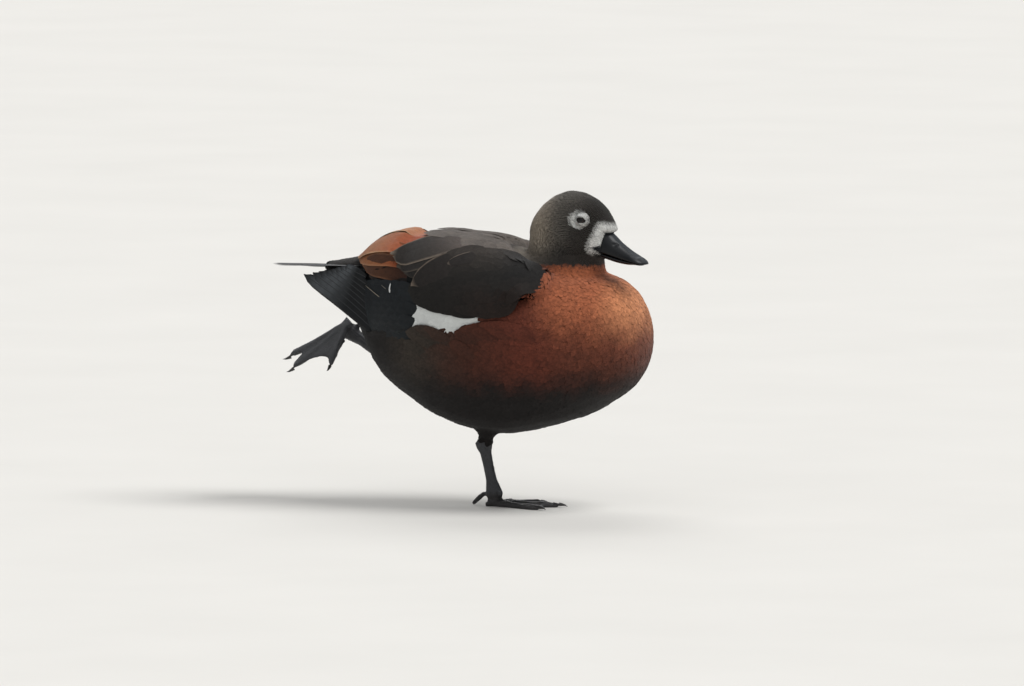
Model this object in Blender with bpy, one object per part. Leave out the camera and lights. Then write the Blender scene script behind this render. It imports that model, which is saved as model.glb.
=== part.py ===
"""A female Australian shelduck (Tadorna tadornoides), life size, resting on its right leg.

The bird faces +X with its left side at +Y. Its head is turned a little to its right, and its left leg is
stretched out behind with the foot hanging. Everything is drawn in millimetres in the bird's own frame,
which has its floor at Z = 0, and is scaled to metres as each mesh is made.
"""

import math

import bpy
import numpy as np
from mathutils import Matrix, Vector

MM = 0.001
GAP = 0.35
LAYER_GAP = 0.9
SECTION_POWER = 2.2

# The trunk from its front to the root of the tail: X, the heights of back and belly, then half the width.
TRUNK_STATIONS = (
    (137.5, 146.0, 146.0, 0.0),
    (135.0, 165.0, 129.0, 21.0),
    (129.5, 178.0, 116.5, 35.0),
    (120.0, 192.0, 103.5, 47.5),
    (104.0, 202.0, 92.5, 57.0),
    (78.0, 207.5, 80.0, 65.0),
    (42.0, 217.0, 68.0, 69.0),
    (5.0, 229.0, 62.5, 69.0),
    (-30.0, 232.0, 69.0, 67.0),
    (-60.0, 231.5, 83.0, 61.0),
    (-85.0, 228.0, 98.5, 51.0),
    (-101.0, 222.5, 112.5, 43.0),
    (-111.0, 218.0, 131.0, 37.0),
    (-120.0, 214.5, 153.0, 31.0),
    (-135.0, 210.5, 182.0, 24.0),
    (-150.0, 208.0, 198.0, 15.0),
    (-157.0, 204.0, 204.0, 0.0),
)
WIDEST_AT = 0.5

# The neck, from inside the trunk up into the head: X, Z, then its reach forward, back and sideways.
NECK_STATIONS = (
    (64.0, 172.0, 44.0, 44.0, 44.0),
    (64.0, 193.0, 37.0, 37.0, 34.0),
    (65.0, 207.0, 31.5, 33.0, 28.0),
    (67.0, 222.0, 29.0, 37.5, 24.5),
    (70.0, 240.0, 22.0, 39.0, 19.0),
)

# The head stands on the neck, turned to the right. Its own frame has +X towards the bill, and stays level.
HEAD_CENTRE = (70.4, -3.0, 245.0)
HEAD_TURN = math.radians(-10.0)
HEAD_STATIONS = (
    (-41.0, -7.5, -7.5, 0.0),
    (-38.8, 0.5, -15.0, 9.0),
    (-32.0, 12.0, -20.0, 15.5),
    (-20.0, 23.2, -27.0, 20.5),
    (-4.0, 30.0, -32.5, 23.0),
    (11.0, 28.0, -34.5, 23.0),
    (24.0, 21.5, -33.0, 19.0),
    (31.0, 15.5, -28.5, 14.0),
    (36.0, 9.0, -21.0, 10.0),
    (39.5, 3.0, -14.0, 7.5),
    (41.5, -3.5, -9.5, 4.0),
    (42.0, -6.5, -6.5, 0.0),
)

# The bill, in the head's frame: X, the height of its upper and lower edge, then half the width.
UPPER_BILL_STATIONS = (
    (28.0, -3.5, -22.6, 10.0),
    (36.0, -6.2, -24.3, 10.4),
    (45.0, -13.0, -26.4, 9.8),
    (54.0, -19.6, -28.4, 9.5),
    (61.0, -24.0, -29.6, 10.2),
    (66.0, -26.9, -30.7, 9.4),
    (69.3, -29.2, -31.9, 6.0),
    (70.8, -31.4, -31.4, 0.0),
)
LOWER_BILL_STATIONS = (
    (27.0, -22.4, -26.5, 7.6),
    (37.0, -24.9, -29.2, 8.8),
    (45.0, -27.0, -31.2, 8.4),
    (54.0, -29.0, -32.4, 8.2),
    (61.0, -30.2, -32.4, 7.8),
    (66.0, -31.3, -32.8, 5.6),
    (68.0, -32.2, -32.2, 0.0),
)

EYE_RADIUS = 5.6
EYE_FORWARD = 17.4
EYE_HEIGHT = 5.7
EYE_DEPTH = 3.7

# The tail lies level, rolled a little with its right edge up.
TAIL_ROOT = (-112.0, 0.0, 204.8)
TAIL_DROOP = math.radians(0.8)
TAIL_LENGTH = 87.0
TAIL_ROLL = math.radians(5.2)
TAIL_FEATHERS = 7
TAIL_HALF_SPREAD = math.radians(19.0)
TAIL_HUB = 62.0

# The folded wing: its coverts and secondaries lie on the flank.
# An edge runs from front to rear as X and height.
WING_FRONT = 34.0
WING_LOWER_EDGE = (
    (34.0, 176.0),
    (10.0, 163.0),
    (-25.0, 156.0),
    (-60.0, 153.0),
    (-92.0, 150.0),
    (-101.0, 150.0),
)
WING_REAR_TOP = (-113.0, 200.0)
WING_UPPER_TURN = math.radians(30.0)
WING_DEPTH = 3.4
WING_CLEARANCE = 5.6
CLEARANCE_FADE = 4.0

# The shoulder feathers lie over the wing's front and upper part, as a shield with a blunt lower edge.
# Their upper edge is given as X and degrees from the top of the back.
SCAPULAR_LOWER_EDGE = (
    (63.0, 190.0),
    (57.0, 186.0),
    (40.0, 179.0),
    (18.0, 171.0),
    (-5.0, 168.5),
    (-35.0, 171.0),
    (-50.0, 176.0),
    (-61.0, 188.0),
    (-71.0, 205.0),
)
SCAPULAR_UPPER_EDGE = ((63.0, 29.0), (34.0, 29.0), (20.0, 17.0), (4.0, 2.0), (-74.0, 2.0))
SCAPULAR_DEPTH = 4.4

# The tertials cap the folded wing behind the shoulder feathers, and stand above the rump.
TERTIAL_LOWER_EDGE = ((-72.5, 204.0), (-90.0, 199.0), (-103.0, 202.0), (-110.0, 208.0))
TERTIAL_UPPER_TURN = math.radians(2.0)
TERTIAL_DEPTH = 7.5
VANE_THICKNESS = 0.9

# The primaries leave the folded wing low at its rear and point up and back.
# The left ones are held in shorter.
PRIMARY_COUNT = 6
PRIMARY_BASE = ((-102.4, 149.0), (-114.6, 199.0))
PRIMARY_TIPS = ((-165.0, 197.0), (-124.0, 206.0))
PRIMARY_LEADING_BULGE = 5.0
PRIMARY_SPREAD_Y = (41.0, 26.0)
LEFT_PRIMARIES_SHORTER = 10.0

# The standing leg, from the ankle to the joint of the toes.
RIGHT_ANKLE = Vector((-7.5, -14.0, 55.0))
RIGHT_TOE_JOINT = Vector((-1.5, -3.0, 10.5))
RIGHT_FOOT_TURN = math.radians(4.0)
LEFT_ANKLE = Vector((-108.0, 44.0, 115.0))
LEFT_TOE_JOINT = Vector((-150.5, 49.0, 143.0))

# The toes of each foot: name, direction in degrees from straight ahead, reach from the joint.
SPREAD_TOES = (("inner", -34.0, 43.0), ("middle", -2.0, 57.0), ("outer", 30.0, 54.0))
TRAILING_TOES = (("inner", -42.0, 43.0), ("middle", -2.0, 57.0), ("outer", 14.0, 54.0))
TOE_HALF_ANGLE = 4.6
WEB_THICKNESS = 1.3
WEB_CLEARANCE = 0.45
PAD_SHARE = 0.3
HEEL_LENGTH = 6.5
HEEL_WIDTH = 7.5
TIP_TAPER = 3.3
SOLE_DEPTH = 10.5
HIND_TOE_START = Vector((-9.2, -3.2, 11.0))
HIND_TOE_END = Vector((-20.5, -5.4, 1.0))

# Limb profiles: the share of the way along, then the depth fore and aft and the width, both from the middle.
TARSUS_PROFILE = (
    (-0.1, 0.0, 0.0),
    (-0.085, 4.2, 3.4),
    (-0.02, 7.6, 5.8),
    (0.07, 7.0, 5.2),
    (0.18, 5.0, 3.6),
    (0.45, 4.5, 3.1),
    (0.72, 4.7, 3.2),
    (0.88, 6.4, 4.6),
    (1.0, 7.6, 6.2),
    (1.1, 6.0, 5.0),
)
HIND_TOE_PROFILE = ((-0.05, 0.0, 0.0), (0.05, 1.7, 1.6), (0.5, 2.1, 1.9), (0.95, 1.6, 1.5), (1.0, 1.0, 1.0))
THIGH_PROFILE = (
    (-0.15, 0.0, 0.0),
    (0.0, 15.0, 13.0),
    (0.5, 14.0, 12.5),
    (0.8, 10.5, 9.0),
    (0.95, 8.2, 7.0),
    (1.0, 7.0, 6.0),
)
RIGHT_KNEE = Vector((6.0, -19.0, 98.0))
LEFT_KNEE = Vector((-66.0, 39.0, 114.0))
THIGH_ENDS_ABOVE_ANKLE = 6.0
TRAILING_CURL = 0.12
CURL_LENGTH = 60.0
CLAW_LENGTH = 7.5
CLAW_RADIUS = 1.75
CLAW_STEPS = 3


def clear_scene():
    for item in list(bpy.data.objects):
        bpy.data.objects.remove(item, do_unlink=True)


def finish(name, colour, roughness):
    """One surface: its colour as linear red, green and blue."""
    made = bpy.data.materials.new(name)
    made.use_nodes = True
    surface = made.node_tree.nodes["Principled BSDF"]
    surface.inputs["Base Color"].default_value = (*colour, 1.0)
    surface.inputs["Roughness"].default_value = roughness
    surface.inputs["Metallic"].default_value = 0.0
    return made


def piece(name, points, faces, surface, parent):
    """A closed, smoothly shaded mesh from points in millimetres."""
    mesh = bpy.data.meshes.new(name)
    mesh.from_pydata([Vector(point) * MM for point in points], [], faces)
    mesh.validate()
    mesh.shade_smooth()
    mesh.set_sharp_from_angle(angle=math.radians(50.0))
    mesh.materials.append(surface)
    made = bpy.data.objects.new(name, mesh)
    bpy.context.scene.collection.objects.link(made)
    made.parent = parent
    return made


def cutter(name, points, faces, parent):
    """A helper that only shapes other pieces."""
    made = piece(name, points, faces, bpy.data.materials["guide"], parent)
    made.hide_render = True
    made.display_type = "WIRE"
    return made


def cut(target, tool):
    step = target.modifiers.new("clear of " + tool.name, "BOOLEAN")
    step.operation = "DIFFERENCE"
    step.solver = "EXACT"
    step.object = tool


def smooth_rows(rows, count):
    """Evenly spaced rows along a smooth curve that passes through the given ones."""
    rows = np.array(rows, float)
    steps = np.linalg.norm(np.diff(rows, axis=0), axis=1) ** 0.5
    knots = np.concatenate([[0.0], np.cumsum(steps)])
    slopes = np.gradient(rows, knots, axis=0)
    places = np.linspace(0.0, knots[-1], count)
    span = np.clip(np.searchsorted(knots, places, side="right") - 1, 0, len(knots) - 2)
    width = (knots[span + 1] - knots[span])[:, None]
    t = (places - knots[span])[:, None] / width
    start = (2 * t**3 - 3 * t**2 + 1) * rows[span] + (t**3 - 2 * t**2 + t) * width * slopes[span]
    end = (3 * t**2 - 2 * t**3) * rows[span + 1] + (t**3 - t**2) * width * slopes[span + 1]
    return start + end


def oval(turn, up, down, side, power=SECTION_POWER):
    """A point of a rounded section: turn 0 is its top, a quarter turn its widest point."""
    c = math.cos(turn)
    s = math.sin(turn)
    reach = up if c > 0 else down
    height = math.copysign(abs(c) ** (2 / power), c) * reach
    return math.copysign(abs(s) ** (2 / power), s) * side, height


def loft(rows, sides, upward=(0, 0, 1), sideways=(0, 1, 0), power=SECTION_POWER):
    """Rings round a row of centres. A row is a centre, then its reach up, down and sideways."""
    upward = np.array(upward, float)
    sideways = np.array(sideways, float)
    points = []
    rings = []
    for row in rows:
        centre, (up, down, side) = np.array(row[:3]), row[3:6]
        if max(up + down, side) < 1e-3:
            rings.append([len(points)])
            points.append(centre)
            continue
        ring = []
        for step in range(sides):
            across, height = oval(math.tau * step / sides, up, down, side, power)
            ring.append(len(points))
            points.append(centre + across * sideways + height * upward)
        rings.append(ring)
    return points, skin_of(rings)


def skin_of(rings):
    """The faces that join each ring to the next, with a cap on an open end."""
    faces = []
    for here, there in zip(rings, rings[1:]):
        count = max(len(here), len(there))
        for step in range(count):
            after = (step + 1) % count
            corners = [here[step % len(here)], here[after % len(here)]]
            corners += [there[after % len(there)], there[step % len(there)]]
            faces.append(list(dict.fromkeys(corners)))
    if len(rings[0]) > 1:
        faces.append(rings[0][::-1])
    if len(rings[-1]) > 1:
        faces.append(rings[-1])
    return faces


def outward(points, faces):
    """The same faces, all turned so that the solid's volume is positive."""
    points = np.array(points)
    volume = 0.0
    for face in faces:
        for second, third in zip(face[1:], face[2:]):
            volume += np.linalg.det(points[[face[0], second, third]])
    return faces if volume > 0 else [face[::-1] for face in faces]


def level_rows(stations, count, grow=0.0, widest=WIDEST_AT):
    """Loft rows for a body drawn by its upper and lower edges along X, widest at a share of its height."""
    rows = []
    for x, top, bottom, side in smooth_rows(stations, count):
        middle = bottom + widest * (top - bottom)
        pole = top - bottom < 0.2
        spread = 0.0 if pole else grow
        up = top - middle + spread
        down = middle - bottom + spread
        rows.append((x, 0.0, middle, up, down, max(side, 0.0) + spread))
    rows[0] = (rows[0][0] + math.copysign(grow, rows[0][0] - rows[1][0]), *rows[0][1:])
    rows[-1] = (rows[-1][0] + math.copysign(grow, rows[-1][0] - rows[-2][0]), *rows[-1][1:])
    return rows


def upright_rows(stations, count, grow=0.0):
    """Loft rows for a column drawn by its reach forward, back and sideways along Z."""
    rows = []
    for x, z, front, back, side in smooth_rows(stations, count):
        rows.append((x, 0.0, z, front + grow, back + grow, side + grow))
    return rows


TRUNK_TABLE = np.array(level_rows(TRUNK_STATIONS, 400))[::-1]


def trunk_section(x):
    """The trunk's section at X: middle height, reach up and down, half width."""
    return [np.interp(x, TRUNK_TABLE[:, 0], TRUNK_TABLE[:, column]) for column in (2, 3, 4, 5)]


def on_trunk(x, turn, lift, hand):
    """A point above the trunk's surface, on its left (+1) or right (-1) side."""

    def surface(at_x, at_turn):
        middle, up, down, side = trunk_section(at_x)
        across, height = oval(at_turn, up, down, side)
        return Vector((at_x, across, middle + height))

    here = surface(x, turn)
    along = surface(x + 1.0, turn) - surface(x - 1.0, turn)
    around = surface(x, turn + 0.02) - surface(x, turn - 0.02)
    normal = around.cross(along).normalized()
    if normal.y < 0:
        normal = -normal
    lifted = here + normal * lift
    return Vector((lifted.x, max(lifted.y, 0.8) * hand, lifted.z))


def turn_at(x, z):
    """How far round the trunk's section its side stands at height z."""
    middle, up, down, _ = trunk_section(x)
    share = np.clip((z - middle) / (up if z > middle else down), -1.0, 1.0)
    return math.acos(math.copysign(abs(share) ** (SECTION_POWER / 2), share))


def plate(grid_in, grid_out):
    """A closed solid between two grids of points with the same number of rows and columns."""
    rows = len(grid_in)
    columns = len(grid_in[0])
    points = [point for line in grid_in for point in line] + [point for line in grid_out for point in line]
    shift = rows * columns
    faces = []
    for i in range(rows - 1):
        for j in range(columns - 1):
            a = i * columns + j
            quad = [a, a + 1, a + columns + 1, a + columns]
            faces.append(quad[::-1])
            faces.append([index + shift for index in quad])
    rim = list(range(columns))
    rim += [i * columns + columns - 1 for i in range(1, rows)]
    rim += [(rows - 1) * columns + j for j in range(columns - 2, -1, -1)]
    rim += [i * columns for i in range(rows - 2, 0, -1)]
    for here, there in zip(rim, rim[1:] + rim[:1]):
        faces.append([here, there, there + shift, here + shift])
    return points, outward(points, faces)


def swell(share, edge=0.28):
    """0 at both ends of a run and 1 over its middle."""
    near = min(share, 1.0 - share) / edge
    near = min(max(near, 0.0), 1.0)
    return math.sin(near * math.pi / 2)


def shell(hand, outline, floor, thickness, rows=14, columns=9):
    """A layer of feathers over the trunk: outline gives (x, turn) from two shares.

    floor is how far its inner face stands off the trunk, and thickness its own depth.
    """
    inner = []
    outer = []
    for i in range(rows + 1):
        inner.append([])
        outer.append([])
        for j in range(columns + 1):
            x, turn = outline(i / rows, j / columns)
            base = floor(x, turn)
            inner[-1].append(on_trunk(x, turn, base, hand))
            outer[-1].append(on_trunk(x, turn, base + thickness(i / rows, j / columns), hand))
    return plate(inner, outer)


def edge_height(edge, x):
    """The height at X of an edge given from front to rear."""
    places = np.array(edge)[::-1]
    return float(np.interp(x, places[:, 0], places[:, 1]))


def wing_outline(along, across):
    rear = WING_REAR_TOP[0] + (WING_LOWER_EDGE[-1][0] - WING_REAR_TOP[0]) * across
    x = WING_FRONT + (rear - WING_FRONT) * along
    low = turn_at(x, edge_height(WING_LOWER_EDGE, x))
    high = WING_UPPER_TURN + (turn_at(x, WING_REAR_TOP[1] + 4.0) - WING_UPPER_TURN) * along**2
    return x, high + (low - high) * across


def wing_lift(x, turn):
    """How far the wing's outer face stands above the trunk, fading away past its edges."""
    along = (WING_FRONT - x) / (WING_FRONT - WING_REAR_TOP[0])
    low = turn_at(x, edge_height(WING_LOWER_EDGE, x))
    across = (turn - WING_UPPER_TURN) / (low - WING_UPPER_TURN)
    outside = max(-along, along - 1.0, -across, across - 1.0, 0.0)
    return LAYER_GAP + WING_CLEARANCE * max(0.0, 1.0 - outside * CLEARANCE_FADE)


def wing(hand):
    def thickness(along, across):
        return VANE_THICKNESS + WING_DEPTH * swell(along) * swell(across, 0.2)

    def floor(_x, _turn):
        return LAYER_GAP

    return shell(hand, wing_outline, floor, thickness, rows=12, columns=7)


def scapular_outline(along, across):
    """The upper edge, given as degrees from the top of the back, swings out round the foot of the neck."""
    x = SCAPULAR_LOWER_EDGE[0][0] + (SCAPULAR_LOWER_EDGE[-1][0] - SCAPULAR_LOWER_EDGE[0][0]) * along
    low = turn_at(x, edge_height(SCAPULAR_LOWER_EDGE, x))
    high = math.radians(edge_height(SCAPULAR_UPPER_EDGE, x))
    return x, high + (max(low, high + 0.05) - high) * across


def scapulars(hand):
    def thickness(along, across):
        lengthwise = swell(0.05 + 0.93 * along, 0.2)
        return VANE_THICKNESS + SCAPULAR_DEPTH * lengthwise * swell(0.12 + 0.88 * across, 0.2)

    return shell(hand, scapular_outline, wing_lift, thickness, rows=14, columns=8)


def tertial_outline(along, across):
    x = TERTIAL_LOWER_EDGE[0][0] + (TERTIAL_LOWER_EDGE[-1][0] - TERTIAL_LOWER_EDGE[0][0]) * along
    low = turn_at(x, edge_height(TERTIAL_LOWER_EDGE, x))
    return x, TERTIAL_UPPER_TURN + (low - TERTIAL_UPPER_TURN) * across


def tertials(hand):
    def thickness(along, across):
        crown = 1.0 - 0.45 * across
        return VANE_THICKNESS + TERTIAL_DEPTH * crown * math.sqrt(1.0 - along**3)

    return shell(hand, tertial_outline, wing_lift, thickness, rows=8, columns=6)


def primaries(hand, shortening):
    """A fan of flight feathers seen edge over edge: each tip is a lobe of its own."""
    inner = []
    outer = []
    across_steps = 3 * PRIMARY_COUNT
    along_steps = 4
    for i in range(across_steps + 1):
        share = i / across_steps
        base = np.array(PRIMARY_BASE[0]) + (np.array(PRIMARY_BASE[1]) - np.array(PRIMARY_BASE[0])) * share
        tip = np.array(PRIMARY_TIPS[0]) + (np.array(PRIMARY_TIPS[1]) - np.array(PRIMARY_TIPS[0])) * share
        way = tip - base
        reach = 1.0 - shortening / np.linalg.norm(way)
        reach -= 0.05 * abs(math.cos(math.pi * share * PRIMARY_COUNT))
        inner.append([])
        outer.append([])
        for j in range(along_steps + 1):
            along = j / along_steps
            x, z = base + way * along * reach
            bow = PRIMARY_LEADING_BULGE * math.sin(math.pi * along) * (1.0 - share)
            x, z = x - 0.7 * bow, z - 0.7 * bow
            y = np.interp(-x, (100.0, 165.0), PRIMARY_SPREAD_Y) - 3.0 * share
            inner[-1].append(Vector((x, hand * y, z)))
            outer[-1].append(Vector((x, hand * (y + 2.6 - 1.4 * along), z)))
    return plate(inner, outer)


def tail_plate():
    """The tail feathers as one fan with a lobed end, in a plane of its own that X points backward in."""
    lower = []
    upper = []
    across_steps = 3 * TAIL_FEATHERS
    along_steps = 6
    for i in range(across_steps + 1):
        share = 2 * i / across_steps - 1
        angle = TAIL_HALF_SPREAD * share
        lobe = 2.2 * abs(math.cos(math.pi * TAIL_FEATHERS * i / across_steps))
        reach = TAIL_HUB + TAIL_LENGTH - 13.0 * abs(share) ** 1.6 - lobe
        lower.append([])
        upper.append([])
        for j in range(along_steps + 1):
            radius = TAIL_HUB * 0.62 + (reach - TAIL_HUB * 0.62) * j / along_steps
            x = TAIL_HUB - radius * math.cos(angle)
            y = radius * math.sin(angle)
            thick = 3.0 - 2.0 * j / along_steps
            sag = -1.6 * share**2
            lower[-1].append(Vector((x, y, sag - thick / 2)))
            upper[-1].append(Vector((x, y, sag + thick / 2)))
    return plate(lower, upper)


def foot_heights(reach, toe_offset):
    """The height of a foot's upper side, from the way out along it and the angle from the nearest toe."""
    ridge = max(0.0, 1.0 - (toe_offset / TOE_HALF_ANGLE) ** 2) ** 0.5
    toe = 6.2 - 2.6 * reach
    joints = 0.45 * math.cos(reach * math.tau * 2.5)
    root = 1.0 - min(reach / 0.14, 1.0)
    return WEB_THICKNESS + (toe - WEB_THICKNESS + joints) * ridge * (1.0 - root) + 2.2 * root


def foot_edge(toes, angle):
    """How far the foot reaches in a direction: to a toe's tip, or to the web's hollow edge between two."""
    for (_, first, near), (_, second, far) in zip(toes, toes[1:]):
        if first - TOE_HALF_ANGLE <= angle <= second + TOE_HALF_ANGLE:
            share = np.clip((angle - first) / (second - first), 0.0, 1.0)
            hollow = 1.0 - 0.24 * math.sin(math.pi * share) ** 0.7
            return (near + (far - near) * share) * hollow
    return toes[0][2] if angle < 0 else toes[-1][2]


def foot_mesh(toes, curl):
    """A webbed foot in its own frame: the toe joint above the origin, toes along +X, the sole at Z = 0."""
    angles = []
    for _, direction, _ in toes:
        angles += [direction + step * TOE_HALF_ANGLE for step in (-1.0, -0.55, 0.0, 0.55, 1.0)]
    angles.sort()
    angles = [angles[0] - 1.0] + angles + [angles[-1] + 1.0]
    gaps = [(a + b) / 2 for a, b in zip(angles, angles[1:]) if b - a > 8.0]
    gaps += [a + (b - a) * share for a, b in zip(angles, angles[1:]) if b - a > 8.0 for share in (0.22, 0.78)]
    angles = sorted(angles + gaps)
    steps = 8
    lower = []
    upper = []
    for angle in angles:
        nearest = min(abs(angle - direction) for _, direction, _ in toes)
        edge = foot_edge(toes, angle) * (1.0 - 0.06 * min(nearest / TOE_HALF_ANGLE, 1.0) ** 2)
        lower.append([])
        upper.append([])
        for step in range(steps + 1):
            reach = step / steps
            run = -HEEL_LENGTH + (edge + HEEL_LENGTH) * reach
            turned = math.radians(angle)
            width = 0.62 + 0.38 * reach
            x = run * math.cos(turned) if run > 0 else run
            heel = (1.0 - reach) ** 3
            y = (max(run, 0.0) + HEEL_WIDTH * heel) * math.sin(turned * (1.0 + 1.1 * heel))
            on_pad = nearest <= TOE_HALF_ANGLE * 0.6 or reach < PAD_SHARE
            sole = 0.0 if on_pad else WEB_CLEARANCE
            top = foot_heights(reach, nearest * width)
            end = 1.0 - TIP_TAPER * max(0.0, reach - 0.9)
            lower[-1].append(Vector((x, y, sole)))
            upper[-1].append(Vector((x, y, max(top * end, sole + 0.8))))
    lower = [[bent(point, curl) for point in line] for line in lower]
    upper = [[bent(point, curl) for point in line] for line in upper]
    return plate(lower, upper)


def bent(point, curl):
    """Rolls a flat foot downward, more and more towards its toes' ends."""
    if curl == 0.0 or point.x <= 0.0:
        return point
    radius = CURL_LENGTH / curl
    angle = point.x / radius
    return Vector(((radius + point.z) * math.sin(angle), point.y, (radius + point.z) * math.cos(angle) - radius))


def claw_mesh(direction, reach, curl):
    """A short, blunt claw that carries a toe's line on and turns down."""
    heading = math.radians(direction)
    forward = Vector((math.cos(heading), math.sin(heading), 0.0))
    sideways = Vector((-forward.y, forward.x, 0.0))
    points = []
    rings = []
    for step in range(CLAW_STEPS + 1):
        share = step / CLAW_STEPS
        along = reach + GAP + CLAW_LENGTH * share
        height = 2.5 - 1.3 * share**2
        radius = CLAW_RADIUS * (1.0 - share) ** 0.75
        if step == CLAW_STEPS:
            rings.append([len(points)])
            points.append(bent(forward * along + Vector((0.0, 0.0, 0.5)), curl))
            continue
        ring = []
        for side in range(6):
            turn = math.tau * side / 6
            offset = sideways * math.cos(turn) * radius * 0.9
            lift = Vector((0.0, 0.0, max(height + math.sin(turn) * radius, 0.45)))
            ring.append(len(points))
            points.append(bent(forward * along + offset + lift, curl))
        rings.append(ring)
    faces = skin_of(rings)
    return points, outward(points, faces)


def limb(start, end, profile, sides=10):
    """A limb from start to end, drawn by its profile."""
    way = end - start
    forward = Vector((0.0, 1.0, 0.0)).cross(way).normalized()
    if forward.x < 0 and abs(forward.x) > abs(forward.z):
        forward = -forward
    sideways = way.cross(forward).normalized()
    rows = []
    for share, depth, width in profile:
        centre = start + way * share
        rows.append((*centre, depth, depth, width))
    points, faces = loft(rows, sides, upward=forward, sideways=sideways, power=2.0)
    return points, outward(points, faces)


def leg(hand_name, ankle, toe_joint, turn, toes, curl, surfaces, root):
    """The bare leg with its webbed foot and claws. The foot hangs from an empty at the joint of its toes."""
    mirror = 1.0 if hand_name == "left" else -1.0
    piece("tarsus_" + hand_name, *limb(ankle, toe_joint, TARSUS_PROFILE), surfaces["leg"], root)
    grown = [(share, depth + GAP, width + GAP) for share, depth, width in TARSUS_PROFILE[1:]]
    grown.append((1.11, 6.0, 5.0))
    tarsus_guide = cutter("tarsus_guide_" + hand_name, *limb(ankle, toe_joint, grown), root)
    frame = bpy.data.objects.new("toe_joint_" + hand_name, None)
    bpy.context.scene.collection.objects.link(frame)
    frame.parent = root
    sole = Matrix.Translation((0.0, 0.0, -SOLE_DEPTH * MM))
    frame.matrix_local = Matrix.Translation(toe_joint * MM) @ turn @ sole
    handed = Matrix.Diagonal((1.0, mirror, 1.0, 1.0))

    def placed(name, mesh, surface):
        points, faces = mesh
        points = [handed @ Vector(point) for point in points]
        made = piece(name, points, outward(points, faces), surface, frame)
        cut(made, tarsus_guide)

    placed("foot_" + hand_name, foot_mesh(toes, curl), surfaces["web"])
    for toe, direction, reach in toes:
        placed(f"claw_{hand_name}_{toe}", claw_mesh(direction, reach, curl), surfaces["claw"])
    points, faces = limb(HIND_TOE_START, HIND_TOE_END, HIND_TOE_PROFILE, 8)
    on_sole = [Vector((point[0], point[1], max(point[2], 0.0))) for point in points]
    placed("hind_toe_" + hand_name, (on_sole, faces), surfaces["leg"])


def head_pieces(surfaces, root):
    """Head, eyes and bill, in the head's own frame."""
    frame = bpy.data.objects.new("head_frame", None)
    bpy.context.scene.collection.objects.link(frame)
    frame.parent = root
    frame.location = Vector(HEAD_CENTRE) * MM
    frame.rotation_euler.z = HEAD_TURN
    points, faces = loft(level_rows(HEAD_STATIONS, 13), 20)
    head = piece("head", points, outward(points, faces), surfaces["head"], frame)
    rows = np.array(level_rows(HEAD_STATIONS, 200))
    middle, up, side = (np.interp(EYE_FORWARD, rows[:, 0], rows[:, column]) for column in (2, 3, 5))
    rise = (EYE_HEIGHT - middle) / up
    surface_y = side * (1.0 - rise**SECTION_POWER) ** (1 / SECTION_POWER)
    for name, hand in (("eye_left", 1.0), ("eye_right", -1.0)):
        centre = Vector((EYE_FORWARD, hand * (surface_y - EYE_DEPTH), EYE_HEIGHT))
        piece(name, *ball(centre, EYE_RADIUS), surfaces["eye"], frame)
        cut(head, cutter("socket_" + name, *ball(centre, EYE_RADIUS + GAP), frame))
    head_guide = cutter("head_guide", *grown_level(HEAD_STATIONS, 13, 20), frame)
    for name, stations, widest in (
        ("bill_upper", UPPER_BILL_STATIONS, 0.1),
        ("bill_lower", LOWER_BILL_STATIONS, 0.9),
    ):
        points, faces = loft(level_rows(stations, 10, widest=widest), 14, power=2.4)
        part = piece(name, points, outward(points, faces), surfaces["bill"], frame)
        cut(part, head_guide)
    return head_guide


def ball(centre, radius, rings=7, sides=12):
    """A sphere."""
    rows = []
    for step in range(rings + 1):
        turn = math.pi * step / rings
        size = radius * math.sin(turn)
        size = 0.0 if size < 0.01 else size
        rows.append((centre.x - radius * math.cos(turn), centre.y, centre.z, size, size, size))
    points, faces = loft(rows, sides, power=2.0)
    return points, outward(points, faces)


def grown_level(stations, count, sides):
    """A copy of a level body, larger by the gap all round."""
    points, faces = loft(level_rows(stations, count, GAP), sides)
    return points, outward(points, faces)


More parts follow.
